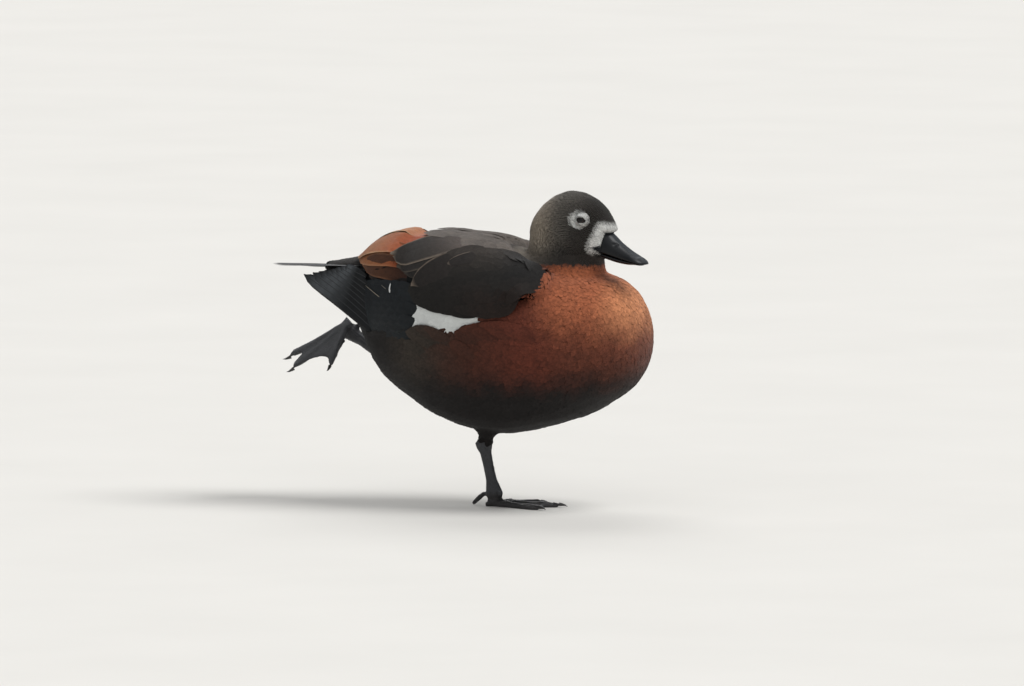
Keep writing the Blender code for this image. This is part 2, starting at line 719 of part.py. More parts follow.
def build():
    clear_scene()
    finish("guide", (0.5, 0.5, 0.5), 0.5)
    surfaces = {
        "head": finish("head_feathers", (0.045, 0.040, 0.034), 0.85),
        "breast": finish("body_feathers", (0.20, 0.060, 0.025), 0.85),
        "back": finish("shoulder_feathers", (0.040, 0.030, 0.024), 0.85),
        "flight": finish("flight_feathers", (0.010, 0.013, 0.014), 0.5),
        "tertial": finish("tertial_feathers", (0.30, 0.085, 0.022), 0.8),
        "bill": finish("bill_horn", (0.030, 0.036, 0.044), 0.45),
        "eye": finish("eye", (0.010, 0.007, 0.006), 0.08),
        "leg": finish("leg_scales", (0.035, 0.033, 0.036), 0.55),
        "web": finish("foot_web", (0.045, 0.040, 0.038), 0.55),
        "claw": finish("claw_horn", (0.012, 0.011, 0.011), 0.4),
    }
    root = bpy.data.objects.new("duck", None)
    bpy.context.scene.collection.objects.link(root)

    points, faces = loft(level_rows(TRUNK_STATIONS, 24), 28)
    piece("trunk", points, outward(points, faces), surfaces["breast"], root)
    trunk_guide = cutter("trunk_guide", *grown_level(TRUNK_STATIONS, 24, 28), root)
    head_guide = head_pieces(surfaces, root)

    points, faces = loft(upright_rows(NECK_STATIONS, 9), 24, upward=(1, 0, 0))
    neck = piece("neck", points, outward(points, faces), surfaces["head"], root)
    cut(neck, head_guide)
    cut(neck, trunk_guide)

    tail = piece("tail", *tail_plate(), surfaces["flight"], root)
    tail.location = Vector(TAIL_ROOT) * MM
    tail.rotation_euler = (-TAIL_ROLL, -TAIL_DROOP, 0.0)
    cut(tail, trunk_guide)

    for name, hand, shortening in (("left", 1.0, LEFT_PRIMARIES_SHORTER), ("right", -1.0, 0.0)):
        piece("wing_" + name, *wing(hand), surfaces["flight"], root)
        piece("scapulars_" + name, *scapulars(hand), surfaces["back"], root)
        piece("tertials_" + name, *tertials(hand), surfaces["tertial"], root)
        fan = piece("primaries_" + name, *primaries(hand, shortening), surfaces["flight"], root)
        cut(fan, trunk_guide)

    thighs(surfaces, root, trunk_guide)
    standing = Matrix.Rotation(RIGHT_FOOT_TURN, 4, "Z")
    hanging = hanging_turn()
    leg("right", RIGHT_ANKLE, RIGHT_TOE_JOINT, standing, SPREAD_TOES, 0.0, surfaces, root)
    leg("left", LEFT_ANKLE, LEFT_TOE_JOINT, hanging, TRAILING_TOES, TRAILING_CURL, surfaces, root)
    centre_on_floor(root)


def thighs(surfaces, root, trunk_guide):
    """The feathered upper legs, where they leave the belly and the flank."""
    for name, ankle, knee in (("right", RIGHT_ANKLE, RIGHT_KNEE), ("left", LEFT_ANKLE, LEFT_KNEE)):
        way = (knee - ankle).normalized()
        end = ankle + way * THIGH_ENDS_ABOVE_ANKLE
        points, faces = limb(knee, end, THIGH_PROFILE, 14)
        cut(piece("thigh_" + name, points, faces, surfaces["breast"], root), trunk_guide)


def hanging_turn():
    """The turn of the trailing foot: its toes point back and down, and its sole faces up and back."""
    forward = Vector((-0.70, -0.29, -0.66)).normalized()
    upward = Vector((0.30, 0.72, -0.63))
    upward = (upward - forward * upward.dot(forward)).normalized()
    sideways = upward.cross(forward)
    return Matrix((forward, sideways, upward)).transposed().to_4x4()


def centre_on_floor(root):
    """Moves the bird so that the origin lies under the middle of its outline."""
    bpy.context.view_layer.update()
    graph = bpy.context.evaluated_depsgraph_get()
    corners = []
    for item in bpy.context.scene.objects:
        if item.type == "MESH" and not item.hide_render:
            seen = item.evaluated_get(graph)
            corners += [seen.matrix_world @ Vector(corner) for corner in seen.bound_box]
    corners = np.array(corners)
    middle = (corners.min(axis=0) + corners.max(axis=0)) / 2
    root.location = (-middle[0], -middle[1], 0.0)


build()
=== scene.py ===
import math

import bpy
import numpy as np
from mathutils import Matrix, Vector
from mathutils.bvhtree import BVHTree
from mathutils.kdtree import KDTree


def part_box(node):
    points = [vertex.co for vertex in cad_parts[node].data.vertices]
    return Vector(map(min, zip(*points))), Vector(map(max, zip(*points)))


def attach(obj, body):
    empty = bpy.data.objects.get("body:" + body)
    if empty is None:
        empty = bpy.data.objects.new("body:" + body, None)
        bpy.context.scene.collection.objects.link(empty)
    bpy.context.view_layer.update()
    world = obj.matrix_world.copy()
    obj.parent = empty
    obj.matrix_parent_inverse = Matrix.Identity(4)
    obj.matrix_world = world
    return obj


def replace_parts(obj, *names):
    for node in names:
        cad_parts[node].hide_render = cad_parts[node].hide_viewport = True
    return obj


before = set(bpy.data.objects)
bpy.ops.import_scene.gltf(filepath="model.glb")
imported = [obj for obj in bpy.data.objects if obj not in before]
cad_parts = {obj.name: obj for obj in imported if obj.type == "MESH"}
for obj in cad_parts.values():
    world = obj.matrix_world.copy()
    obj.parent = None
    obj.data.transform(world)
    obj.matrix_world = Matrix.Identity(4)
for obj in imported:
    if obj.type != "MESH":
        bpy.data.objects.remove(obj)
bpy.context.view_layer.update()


# ---------------------------------------------------------------------------------------------------------
# The stage. A pale, matt plaster floor runs out to a pale surround under three broad, soft lights: one high
# in front of the breast, one beyond the bird and a faint one by the viewer. The bird's own frame is set out
# here too: it is in millimetres, with the floor at Z = 0 and the front of the breast at X = 137.5.

MM = 0.001
BREAST_FRONT = 137.5
SHIFT = np.array([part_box("trunk")[1].x / MM - BREAST_FRONT, 0.0, 0.0])


def placed(points):
    """Points of the bird's own frame, in millimetres, as places in the scene in metres."""
    return (np.asarray(points, float) + SHIFT) * MM


def hue(text):
    """The linear red, green and blue of an sRGB hex colour."""
    parts = [int(text[i : i + 2], 16) / 255 for i in (1, 3, 5)]
    return np.array([c / 12.92 if c <= 0.04045 else ((c + 0.055) / 1.055) ** 2.4 for c in parts])


def add(tree, kind, settings=None, links=None):
    """A shader node with its settings, and its inputs linked."""
    made = tree.nodes.new(kind)
    for name, value in (settings or {}).items():
        if isinstance(name, int) or name in made.inputs:
            made.inputs[name].default_value = value
        else:
            setattr(made, name, value)
    for name, source in (links or {}).items():
        tree.links.new(source, made.inputs[name])
    return made


def material(name, settings):
    """A new material: its name, its node tree and its Principled BSDF."""
    made = bpy.data.materials.new(name)
    made.use_nodes = True
    tree = made.node_tree
    shader = tree.nodes["Principled BSDF"]
    for socket, value in settings.items():
        shader.inputs[socket].default_value = value
    return made, tree, shader


def link(obj):
    bpy.context.scene.collection.objects.link(obj)
    return obj


# Matt plaster: a dielectric with no gloss to speak of, and a very faint mottle from the trowel.
plaster, tree, shader = material(
    "matt_plaster", {"Roughness": 0.95, "IOR": 1.45, "Specular IOR Level": 0.15}
)
where = add(tree, "ShaderNodeTexCoord")
mottle = add(tree, "ShaderNodeTexNoise", {"Scale": 5.0, "Detail": 4.0}, {"Vector": where.outputs["Object"]})
tone = add(tree, "ShaderNodeValToRGB", {}, {"Fac": mottle.outputs["Fac"]})
tone.color_ramp.elements[0].color = (*hue("#cfcdc8"), 1.0)
tone.color_ramp.elements[1].color = (*hue("#d6d4cf"), 1.0)
tree.links.new(tone.outputs["Color"], shader.inputs["Base Color"])

FLOOR_REACH = 60.0
FLOOR_SIDES = 96
floor_mesh = bpy.data.meshes.new("floor")
turns = np.linspace(0, math.tau, FLOOR_SIDES + 1)[:-1]
corners = [(FLOOR_REACH * math.cos(turn), FLOOR_REACH * math.sin(turn), 0.0) for turn in turns]
floor_mesh.from_pydata(corners, [], [list(range(len(corners)))])
floor_mesh.materials.append(plaster)
floor = link(bpy.data.objects.new("floor", floor_mesh))

world = bpy.data.worlds.new("studio")
world.use_nodes = True
world.node_tree.nodes["Background"].inputs["Color"].default_value = (*hue("#dcdde0"), 1.0)
world.node_tree.nodes["Background"].inputs["Strength"].default_value = 0.50
bpy.context.scene.world = world
bpy.context.scene.view_settings.view_transform = "Standard"


def look_from(made, azimuth, elevation):
    """Turns a lamp or a camera to look in from this side and height, and gives the way back to it."""
    back = Vector(
        (
            math.sin(azimuth) * math.cos(elevation),
            -math.cos(azimuth) * math.cos(elevation),
            math.sin(elevation),
        )
    )
    made.rotation_mode = "QUATERNION"
    made.rotation_quaternion = back.to_track_quat("Z", "Y")
    return back


def soft_sun(name, azimuth, elevation, strength, spread):
    """A broad light from far off. Azimuth 0 is the bird's right side, and 90 is in front of it."""
    lamp = bpy.data.lights.new(name, "SUN")
    lamp.energy = strength
    lamp.angle = math.radians(spread)
    look_from(link(bpy.data.objects.new(name, lamp)), math.radians(azimuth), math.radians(elevation))


soft_sun("overhead", 95.0, 60.0, 2.3, 35.0)
soft_sun("behind", 205.0, 42.0, 1.1, 35.0)
soft_sun("fill", 10.0, 40.0, 0.5, 60.0)

VIEW_AZIMUTH = math.radians(18.0)
VIEW_ELEVATION = math.radians(5.0)
VIEW_DISTANCE = 14.7
AIM = placed((12.9, 2.1, 140.9))
lens = bpy.data.cameras.new("camera")
lens.lens = 600.0
lens.sensor_width = 36.0
lens.clip_end = 200.0
camera = link(bpy.data.objects.new("camera", lens))
camera.location = Vector(AIM) + look_from(camera, VIEW_AZIMUTH, VIEW_ELEVATION) * VIEW_DISTANCE
bpy.context.scene.camera = camera


# ---------------------------------------------------------------------------------------------------------
# The eyes. Each is a dark brown eyeball with a clear, bulging front, set deep in the head; only the part
# between the lids shows. A shelduck's iris is so dark that it can hardly be told from the pupil.

HANDS = {"left": 1.0, "right": -1.0}
EYE_RADIUS = 5.6
EYE_FORWARD, EYE_HEIGHT = 17.4, 5.7
EYE_TURN, EYE_TILT = math.radians(9.0), math.radians(4.0)
CORNEA_REACH, CORNEA_RISE = 3.9, 0.45


def middle_of(node):
    """The middle of a node's box in the bird's frame."""
    low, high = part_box(node)
    return np.array((low + high) / 2) / MM - SHIFT


eye_centre = {side: middle_of("eye_" + side) for side in HANDS}
HEAD_LEFT = eye_centre["left"] - eye_centre["right"]
HEAD_LEFT = HEAD_LEFT / np.linalg.norm(HEAD_LEFT)
HEAD_UP = np.array([0.0, 0.0, 1.0])
HEAD_FORWARD = np.cross(HEAD_LEFT, HEAD_UP)
HEAD_AXES = np.array([HEAD_FORWARD, HEAD_LEFT, HEAD_UP])
HEAD_ORIGIN = (eye_centre["left"] + eye_centre["right"]) / 2 - HEAD_AXES.T @ (EYE_FORWARD, 0.0, EYE_HEIGHT)


def in_head(points):
    """Places in the head's own frame: X towards the bill, Y to the bird's left."""
    return (np.asarray(points) - HEAD_ORIGIN) @ HEAD_AXES.T


def from_head(points):
    """Places of the head's own frame in the bird's."""
    return np.asarray(points) @ HEAD_AXES + HEAD_ORIGIN


def eye_axes(side):
    """The way an eye looks out, then its own forward and upward directions."""
    out = HEAD_LEFT * HANDS[side] * math.cos(EYE_TURN) + HEAD_FORWARD * math.sin(EYE_TURN)
    out = out * math.cos(EYE_TILT) + HEAD_UP * math.sin(EYE_TILT)
    ahead = HEAD_FORWARD - out * (HEAD_FORWARD @ out)
    ahead /= np.linalg.norm(ahead)
    return out, ahead, np.cross(out, ahead) * (1.0 if np.cross(out, ahead)[2] > 0 else -1.0)


def ring_quads(rings, sides):
    """The quads of a tube of rings of points, from each ring to the next."""
    ring, step = np.meshgrid(np.arange(rings), np.arange(sides), indexing="ij")
    a, b = ring * sides + step, ring * sides + (step + 1) % sides
    return np.stack([a, a + sides, b + sides, b], axis=-1).reshape(-1, 4)


def mesh_from(name, points, faces, surfaces=(), which=None):
    """A smooth mesh piece in metres from points in the bird's frame and triangles or quads."""
    mesh = bpy.data.meshes.new(name)
    points = placed(points).astype(np.float32)
    faces = np.asarray(faces, np.int32)
    sides = faces.shape[1]
    mesh.vertices.add(len(points))
    mesh.vertices.foreach_set("co", points.ravel())
    mesh.loops.add(faces.size)
    mesh.loops.foreach_set("vertex_index", faces.ravel())
    mesh.polygons.add(len(faces))
    mesh.polygons.foreach_set("loop_start", np.arange(0, faces.size, sides, dtype=np.int32))
    mesh.update(calc_edges=True)
    mesh.polygons.foreach_set("use_smooth", np.ones(len(faces), bool))
    for surface in surfaces:
        mesh.materials.append(surface)
    if which is not None:
        mesh.polygons.foreach_set("material_index", np.asarray(which, np.int32))
    return link(bpy.data.objects.new(name, mesh))


# Wet cornea over a brown iris: one smooth, clear coat of IOR 1.38 on a dark base.
wet_eye, tree, shader = material(
    "wet_eye", {"Roughness": 0.3, "IOR": 1.38, "Coat Weight": 0.7, "Coat Roughness": 0.02, "Coat IOR": 1.38}
)
shader.inputs["Specular IOR Level"].default_value = 0.1
where = add(tree, "ShaderNodeTexCoord")
apart = add(tree, "ShaderNodeSeparateXYZ", {}, {"Vector": where.outputs["Object"]})
across = add(tree, "ShaderNodeCombineXYZ", {}, {"X": apart.outputs["X"], "Y": apart.outputs["Y"]})
from_axis = add(tree, "ShaderNodeVectorMath", {"operation": "LENGTH"}, {"Vector": across.outputs["Vector"]})
per_radius = {"operation": "MULTIPLY", 1: 1.0 / (EYE_RADIUS * MM)}
spread = add(tree, "ShaderNodeMath", per_radius, {0: from_axis.outputs["Value"]})
iris = add(tree, "ShaderNodeValToRGB", {}, {"Fac": spread.outputs["Value"]})
iris.color_ramp.elements[0].position = 0.30
iris.color_ramp.elements[0].color = (*hue("#040303"), 1.0)
iris.color_ramp.elements[1].position = 0.36
iris.color_ramp.elements[1].color = (*hue("#1c100a"), 1.0)
for share, code in ((0.60, "#120b08"), (0.68, "#070606")):
    iris.color_ramp.elements.new(share).color = (*hue(code), 1.0)
tree.links.new(iris.outputs["Color"], shader.inputs["Base Color"])

# Each ball is turned about its own middle, with its front along its own Z.
EYE_RINGS, EYE_SIDES = 28, 40
for side in HANDS:
    out, _, _ = eye_axes(side)
    points = []
    for ring in range(EYE_RINGS + 1):
        turn = math.pi * ring / EYE_RINGS
        reach = EYE_RADIUS * math.sin(turn)
        bulge = CORNEA_RISE * max(0.0, 1.0 - (reach / CORNEA_REACH) ** 2) if turn < math.pi / 2 else 0.0
        rise = EYE_RADIUS * math.cos(turn) + bulge
        for step in range(EYE_SIDES):
            angle = math.tau * step / EYE_SIDES
            points.append(Vector((reach * math.cos(angle), reach * math.sin(angle), rise)) * MM)
    mesh = bpy.data.meshes.new("eyeball_" + side)
    mesh.from_pydata(points, [], ring_quads(EYE_RINGS, EYE_SIDES).tolist())
    mesh.shade_smooth()
    mesh.materials.append(wet_eye)
    ball = link(bpy.data.objects.new("eyeball_" + side, mesh))
    ball.location = placed(eye_centre[side])
    ball.rotation_mode = "QUATERNION"
    ball.rotation_quaternion = Vector(out).to_track_quat("Z", "Y")
    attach(ball, "root")
    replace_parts(ball, "eye_" + side)


# ---------------------------------------------------------------------------------------------------------
# The skin. Under its feathers the bird is one unbroken body, from the bill to the bare legs and webs. The
# solids of its parts are grown together, smoothed, and drawn in by the depth of the coat that covers them,
# and the eyelids are laid over the eyeballs. It carries the same colours as the feathers that grow on it.

ZONES = {
    "trunk": ("trunk", "neck", "head"),
    "thigh": ("thigh_left", "thigh_right"),
    "bare": ("tarsus_left", "tarsus_right", "foot_left", "foot_right", "hind_toe_left", "hind_toe_right"),
    "wing": ("wing_left", "wing_right"),
    "scapular": ("scapulars_left", "scapulars_right"),
    "tertial": ("tertials_left", "tertials_right"),
}
ZONE_NAMES = list(ZONES)
ROD_SIDES = 12
GROWTH = 0.9
BARE_GROWTH = 0.75
BARE_SHRINK = 0.5
VOXEL = 1.2
SMOOTHING, SMOOTHING_PASSES = 0.6, 14
BARE_SPARED = 0.55
COAT_SMOOTHING, COAT_SMOOTHING_PASSES = 0.3, 4
BODY_COAT = 2.7
HEAD_COAT = 1.15
NECK_COAT = 2.0
THIGH_COAT = 0.6
NECK_AXIS = np.array([64.0, 0.0, 200.0])
BILL_ROOT = np.array([33.0, 0.0, -12.0])
DOWN = np.array([0.0, 0.0, -1.0])


def ease(value, low, high):
    """0 below low, 1 above high, and a smooth rise between them."""
    share = np.clip((np.asarray(value, float) - low) / (high - low), 0.0, 1.0)
    return share * share * (3.0 - 2.0 * share)


def unit(vectors):
    return vectors / np.maximum(np.linalg.norm(vectors, axis=-1, keepdims=True), 1e-9)


def solid_of(node):
    """The corners of a node in the bird's frame, welded, and its triangles."""
    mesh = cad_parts[node].data
    mesh.calc_loop_triangles()
    points = np.empty(len(mesh.vertices) * 3, np.float32)
    mesh.vertices.foreach_get("co", points)
    corners = np.empty(len(mesh.loop_triangles) * 3, np.int32)
    mesh.loop_triangles.foreach_get("vertices", corners)
    points = points.reshape(-1, 3) / MM - SHIFT
    _, first, joined = np.unique(np.round(points, 3), axis=0, return_index=True, return_inverse=True)
    return points[first], joined.reshape(-1)[corners.reshape(-1, 3)]


def corner_normals(points, faces):
    """The outward direction at each point of a mesh of triangles or quads."""
    flat = np.cross(points[faces[:, 2]] - points[faces[:, 0]], points[faces[:, -1]] - points[faces[:, 1]])
    if faces.shape[1] == 3:
        flat = np.cross(points[faces[:, 1]] - points[faces[:, 0]], points[faces[:, 2]] - points[faces[:, 0]])
    summed = np.zeros_like(points)
    for corner in faces.T:
        for axis in range(3):
            summed[:, axis] += np.bincount(corner, flat[:, axis], len(points))
    return unit(summed)


def tapered_rod(start, end, first, last):
    """A rod between two places with its two radii, closed by a point at each end."""
    axis = unit(end - start)
    aside = unit(np.cross(axis, (0.3, 0.9, 0.2)))
    third = np.cross(axis, aside)
    angle = np.linspace(0.0, math.tau, ROD_SIDES, endpoint=False)[:, None]
    rim = np.cos(angle) * aside + np.sin(angle) * third
    spots = np.vstack([start + rim * first, end + rim * last, start - axis * first, end + axis * last])
    low, high = np.arange(ROD_SIDES), np.arange(ROD_SIDES) + ROD_SIDES
    after, above = np.roll(low, -1), np.roll(high, -1)
    foot, head = np.full(ROD_SIDES, 2 * ROD_SIDES), np.full(ROD_SIDES, 2 * ROD_SIDES + 1)
    strips = ((low, after, above), (low, above, high), (foot, after, low), (head, high, above))
    return spots, np.concatenate([np.stack(strip, axis=1) for strip in strips])


TOE_JOINTS = {"right": np.array((-1.5, -3.0, 10.5)), "left": np.array((-150.5, 49.0, 143.0))}
TOE_NAMES = ("inner", "middle", "outer")
# The flesh under each claw starts and ends this far back from it, and has these radii there.
CLAW_BED = (9.0, 2.2, 1.5, 1.35)
HIND_TOE_RADII = (2.3, 3.2)


def toe_ends():
    """The flesh that runs from each toe on to the root of its claw, and from the heel to the hind toe."""
    for side, joint in TOE_JOINTS.items():
        for toe in TOE_NAMES:
            claw = middle_of("claw_" + side + "_" + toe)
            way = unit(claw - joint)
            yield tapered_rod(claw - way * CLAW_BED[0], claw - way * CLAW_BED[1], *CLAW_BED[2:])
        spots, _ = solid_of("hind_toe_" + side)
        near = spots[np.linalg.norm(spots - joint, axis=1).argmin()]
        core = near + 0.25 * (spots.mean(axis=0) - near)
        yield tapered_rod(core, joint, *HIND_TOE_RADII)


def put_together(meshes):
    """All the points of several meshes, and all their faces."""
    points, faces, count = [], [], 0
    for spots, corners in meshes:
        points.append(spots)
        faces.append(corners + count)
        count += len(spots)
    return np.vstack(points), np.vstack(faces)


def grown_together():
    """The flesh solids grown by a little and joined: points and quads."""
    flesh = list(toe_ends())
    for zone, nodes in ZONES.items():
        for node in nodes:
            spots, triangles = solid_of(node)
            growth = BARE_GROWTH if zone == "bare" else GROWTH
            flesh.append((spots + corner_normals(spots, triangles) * growth, triangles))
    rough = mesh_from("flesh", *put_together(flesh))
    remesh = rough.modifiers.new("remesh", "REMESH")
    remesh.mode = "VOXEL"
    remesh.voxel_size = VOXEL * MM
    made = rough.evaluated_get(bpy.context.evaluated_depsgraph_get()).to_mesh()
    spots = np.empty(len(made.vertices) * 3, np.float32)
    made.vertices.foreach_get("co", spots)
    quads = np.empty(len(made.loops), np.int32)
    made.loops.foreach_get("vertex_index", quads)
    spots = spots.reshape(-1, 3).astype(float) / MM - SHIFT
    bpy.data.objects.remove(rough)
    return spots, quads.reshape(-1, 4)


def distances(points, nodes):
    """How far each point is from the nearest of these nodes."""
    corners, triangles = put_together([solid_of(node) for node in nodes])
    tree = BVHTree.FromPolygons(corners.tolist(), triangles.tolist())
    return np.array([tree.find_nearest(point)[3] for point in points.tolist()])


def relaxed(points, faces, share, passes):
    """Each point moved towards the middle of its neighbours, by its own share, pass after pass."""
    start = faces.ravel()
    end = np.roll(faces, -1, axis=1).ravel()
    count = np.maximum(np.bincount(start, None, len(points)), 1)[:, None]
    for _ in range(passes):
        middle = np.stack([np.bincount(start, points[end, axis], len(points)) for axis in range(3)], axis=1)
        points = points + share[:, None] * (middle / count - points)
    return points


skin_points, skin_faces = grown_together()
zone_distance = np.stack([distances(skin_points, nodes) for nodes in ZONES.values()], axis=1)
skin_zone = zone_distance.argmin(axis=1)
to_trunk, to_thigh, to_bare = zone_distance[:, :3].T
bareness = ease(to_trunk - to_bare, -4.0, 2.0) * ease(to_thigh - to_bare, -2.5, 1.5)
skin_points = relaxed(skin_points, skin_faces, SMOOTHING - BARE_SPARED * bareness, SMOOTHING_PASSES)
skin_normals = corner_normals(skin_points, skin_faces)

HOCK = np.array((-108.0, 44.0, 115.0))
THIN_SHARE = 0.45
BILL_RECESS = 3.2


def coat_depth(points, bare):
    """How deep the feathers lie over the skin."""
    x, _, z = points.T
    headward = ease(z, 214.0, 226.0) * ease(x, 10.0, 30.0)
    neckward = ease(z, 196.0, 212.0) * ease(x, 10.0, 30.0)
    from_hock = np.linalg.norm(points - HOCK, axis=1)
    thighward = np.maximum(ease(-z, -96.0, -78.0), ease(-from_hock, -38.0, -24.0))
    depth = BODY_COAT + (NECK_COAT - BODY_COAT) * neckward + (HEAD_COAT - NECK_COAT) * headward
    depth = depth + (THIGH_COAT - depth) * thighward
    backward = ease(z, 200.0, 214.0) * ease(-x, -30.0, -5.0)
    depth = depth * (1.0 - THIN_SHARE * backward)
    bill_near = ease(-np.linalg.norm(in_head(points) - BILL_ROOT, axis=1), -24.0, -12.0)
    depth = depth * (1.0 - THIN_SHARE * bill_near)
    return depth * (1.0 - bare)


# The face is drawn in further where the horn of the bill sits on it.
skin_depth = coat_depth(skin_points, bareness)
held = in_head(skin_points)
bill_recess = ease(held[:, 0], 31.5, 34.5) * ease(-held[:, 2], 3.4, 5.4) * ease(held[:, 2], -27.0, -21.0)
bill_recess *= ease(-np.abs(held[:, 1]), -14.0, -11.0) * ease(held[:, 0], 20.0, 30.0)
skin_depth = skin_depth + BILL_RECESS * bill_recess
inward = skin_depth + GROWTH * (1.0 - bareness) + BARE_SHRINK * bareness
skin_points = skin_points - skin_normals * inward[:, None]
skin_points = relaxed(skin_points, skin_faces, COAT_SMOOTHING * (1.0 - bareness), COAT_SMOOTHING_PASSES)


def ripple(points, length, seed):
    """A smooth, uneven swell over the body between -1 and 1, for the edges of the markings."""
    random = np.random.default_rng(seed)
    total = np.zeros(len(points))
    for _ in range(6):
        way = unit(random.normal(size=3)) * math.tau / length * random.uniform(0.7, 1.5)
        total += np.sin(points @ way + random.uniform(0, math.tau))
    return total / 3.2


COLOURS = {
    name: hue(code)
    for name, code in {
        "crown": "#4c4843",
        "cheek": "#3d3a36",
        "throat": "#2b2825",
        # the pale nape: a painted rim light along the back of the head and neck.
        "nape_rim_light": "#a09484",
        "ear": "#58544e",
        "white": "#dadad6",
        "chestnut": "#9a583a",
        # the front of the breast painted paler than its chestnut: a painted highlight.
        "chestnut_front_highlight": "#c4835a",
        # russet, umber and belly: the breast darkens downwards, partly by its own darker brown and partly as
        # painted shade.
        "russet": "#653626",
        "umber": "#3b221b",
        "belly": "#171413",
        "vent": "#0a0a0a",
        "flank_front": "#5c2c1f",
        "flank_mid": "#43241a",
        "flank_rear": "#332d27",
        "mantle": "#3a342f",
        "rump": "#191817",
        "scapular": "#1c1a18",
        "wing": "#15181a",
        "leg": "#393a3d",
        "web": "#2d2b2b",
        "dark_skin": "#181a1d",
    }.items()
}

# The rear edge of the white band at the root of the bill: places ahead and up in the head's frame.
WHITE_BILL_PATCH = (
    (30.0, 8.0),
    (29.3, 2.9),
    (28.1, -1.3),
    (26.7, -5.6),
    (24.3, -10.8),
    (21.4, -16.1),
    (21.3, -19.6),
    (22.4, -22.3),
    (25.2, -23.4),
)
EYE_RING_CENTRE = (15.3, 5.6)
EYE_RING_REACH = (7.3, 6.9)


def mixed(first, second, share):
    """The first colour or colours, with this share of the second."""
    return first + (second - first) * np.asarray(share)[..., None]


def pale_face(points):
    """1 in the white ring round the eye and the white band at the root of the bill, 0 elsewhere."""
    ahead, aside, high = in_head(points).T
    ring = np.hypot(
        (ahead - EYE_RING_CENTRE[0]) / EYE_RING_REACH[0], (high - EYE_RING_CENTRE[1]) / EYE_RING_REACH[1]
    )
    patch = np.array(WHITE_BILL_PATCH)
    edge = np.interp(-high, -patch[:, 1], patch[:, 0])
    wobble = 0.5 * ripple(points, 5.0, 5)
    top = 2.6 - 0.25 * np.maximum(ahead - 34.0, 0.0)
    around_bill = ease(ahead - edge + wobble, 0.0, 1.4) * ease(top - high, -0.9, 0.9)
    around_bill = around_bill * ease(high, -24.8, -22.0)
    around_eye = ease(1.03 - ring + 0.05 * wobble, -0.06, 0.06) * ease(np.abs(aside), 8.0, 11.0)
    return np.clip(around_bill + around_eye, 0.0, 1.0)


# The lower edge of the scapular shield: lengths along the body and heights.
SHIELD_EDGE = (
    (-71.0, 205.0),
    (-61.0, 190.0),
    (-53.0, 178.0),
    (-38.0, 175.5),
    (-14.0, 174.0),
    (0.0, 171.5),
    (13.0, 169.5),
    (26.0, 171.0),
    (31.0, 178.0),
    (36.0, 186.0),
    (48.0, 190.0),
    (61.0, 196.0),
)


def shield_edge(x):
    """The height of the lower edge of the scapular shield at these lengths along the body."""
    edge = np.array(SHIELD_EDGE)
    return np.interp(x, edge[:, 0], edge[:, 1])


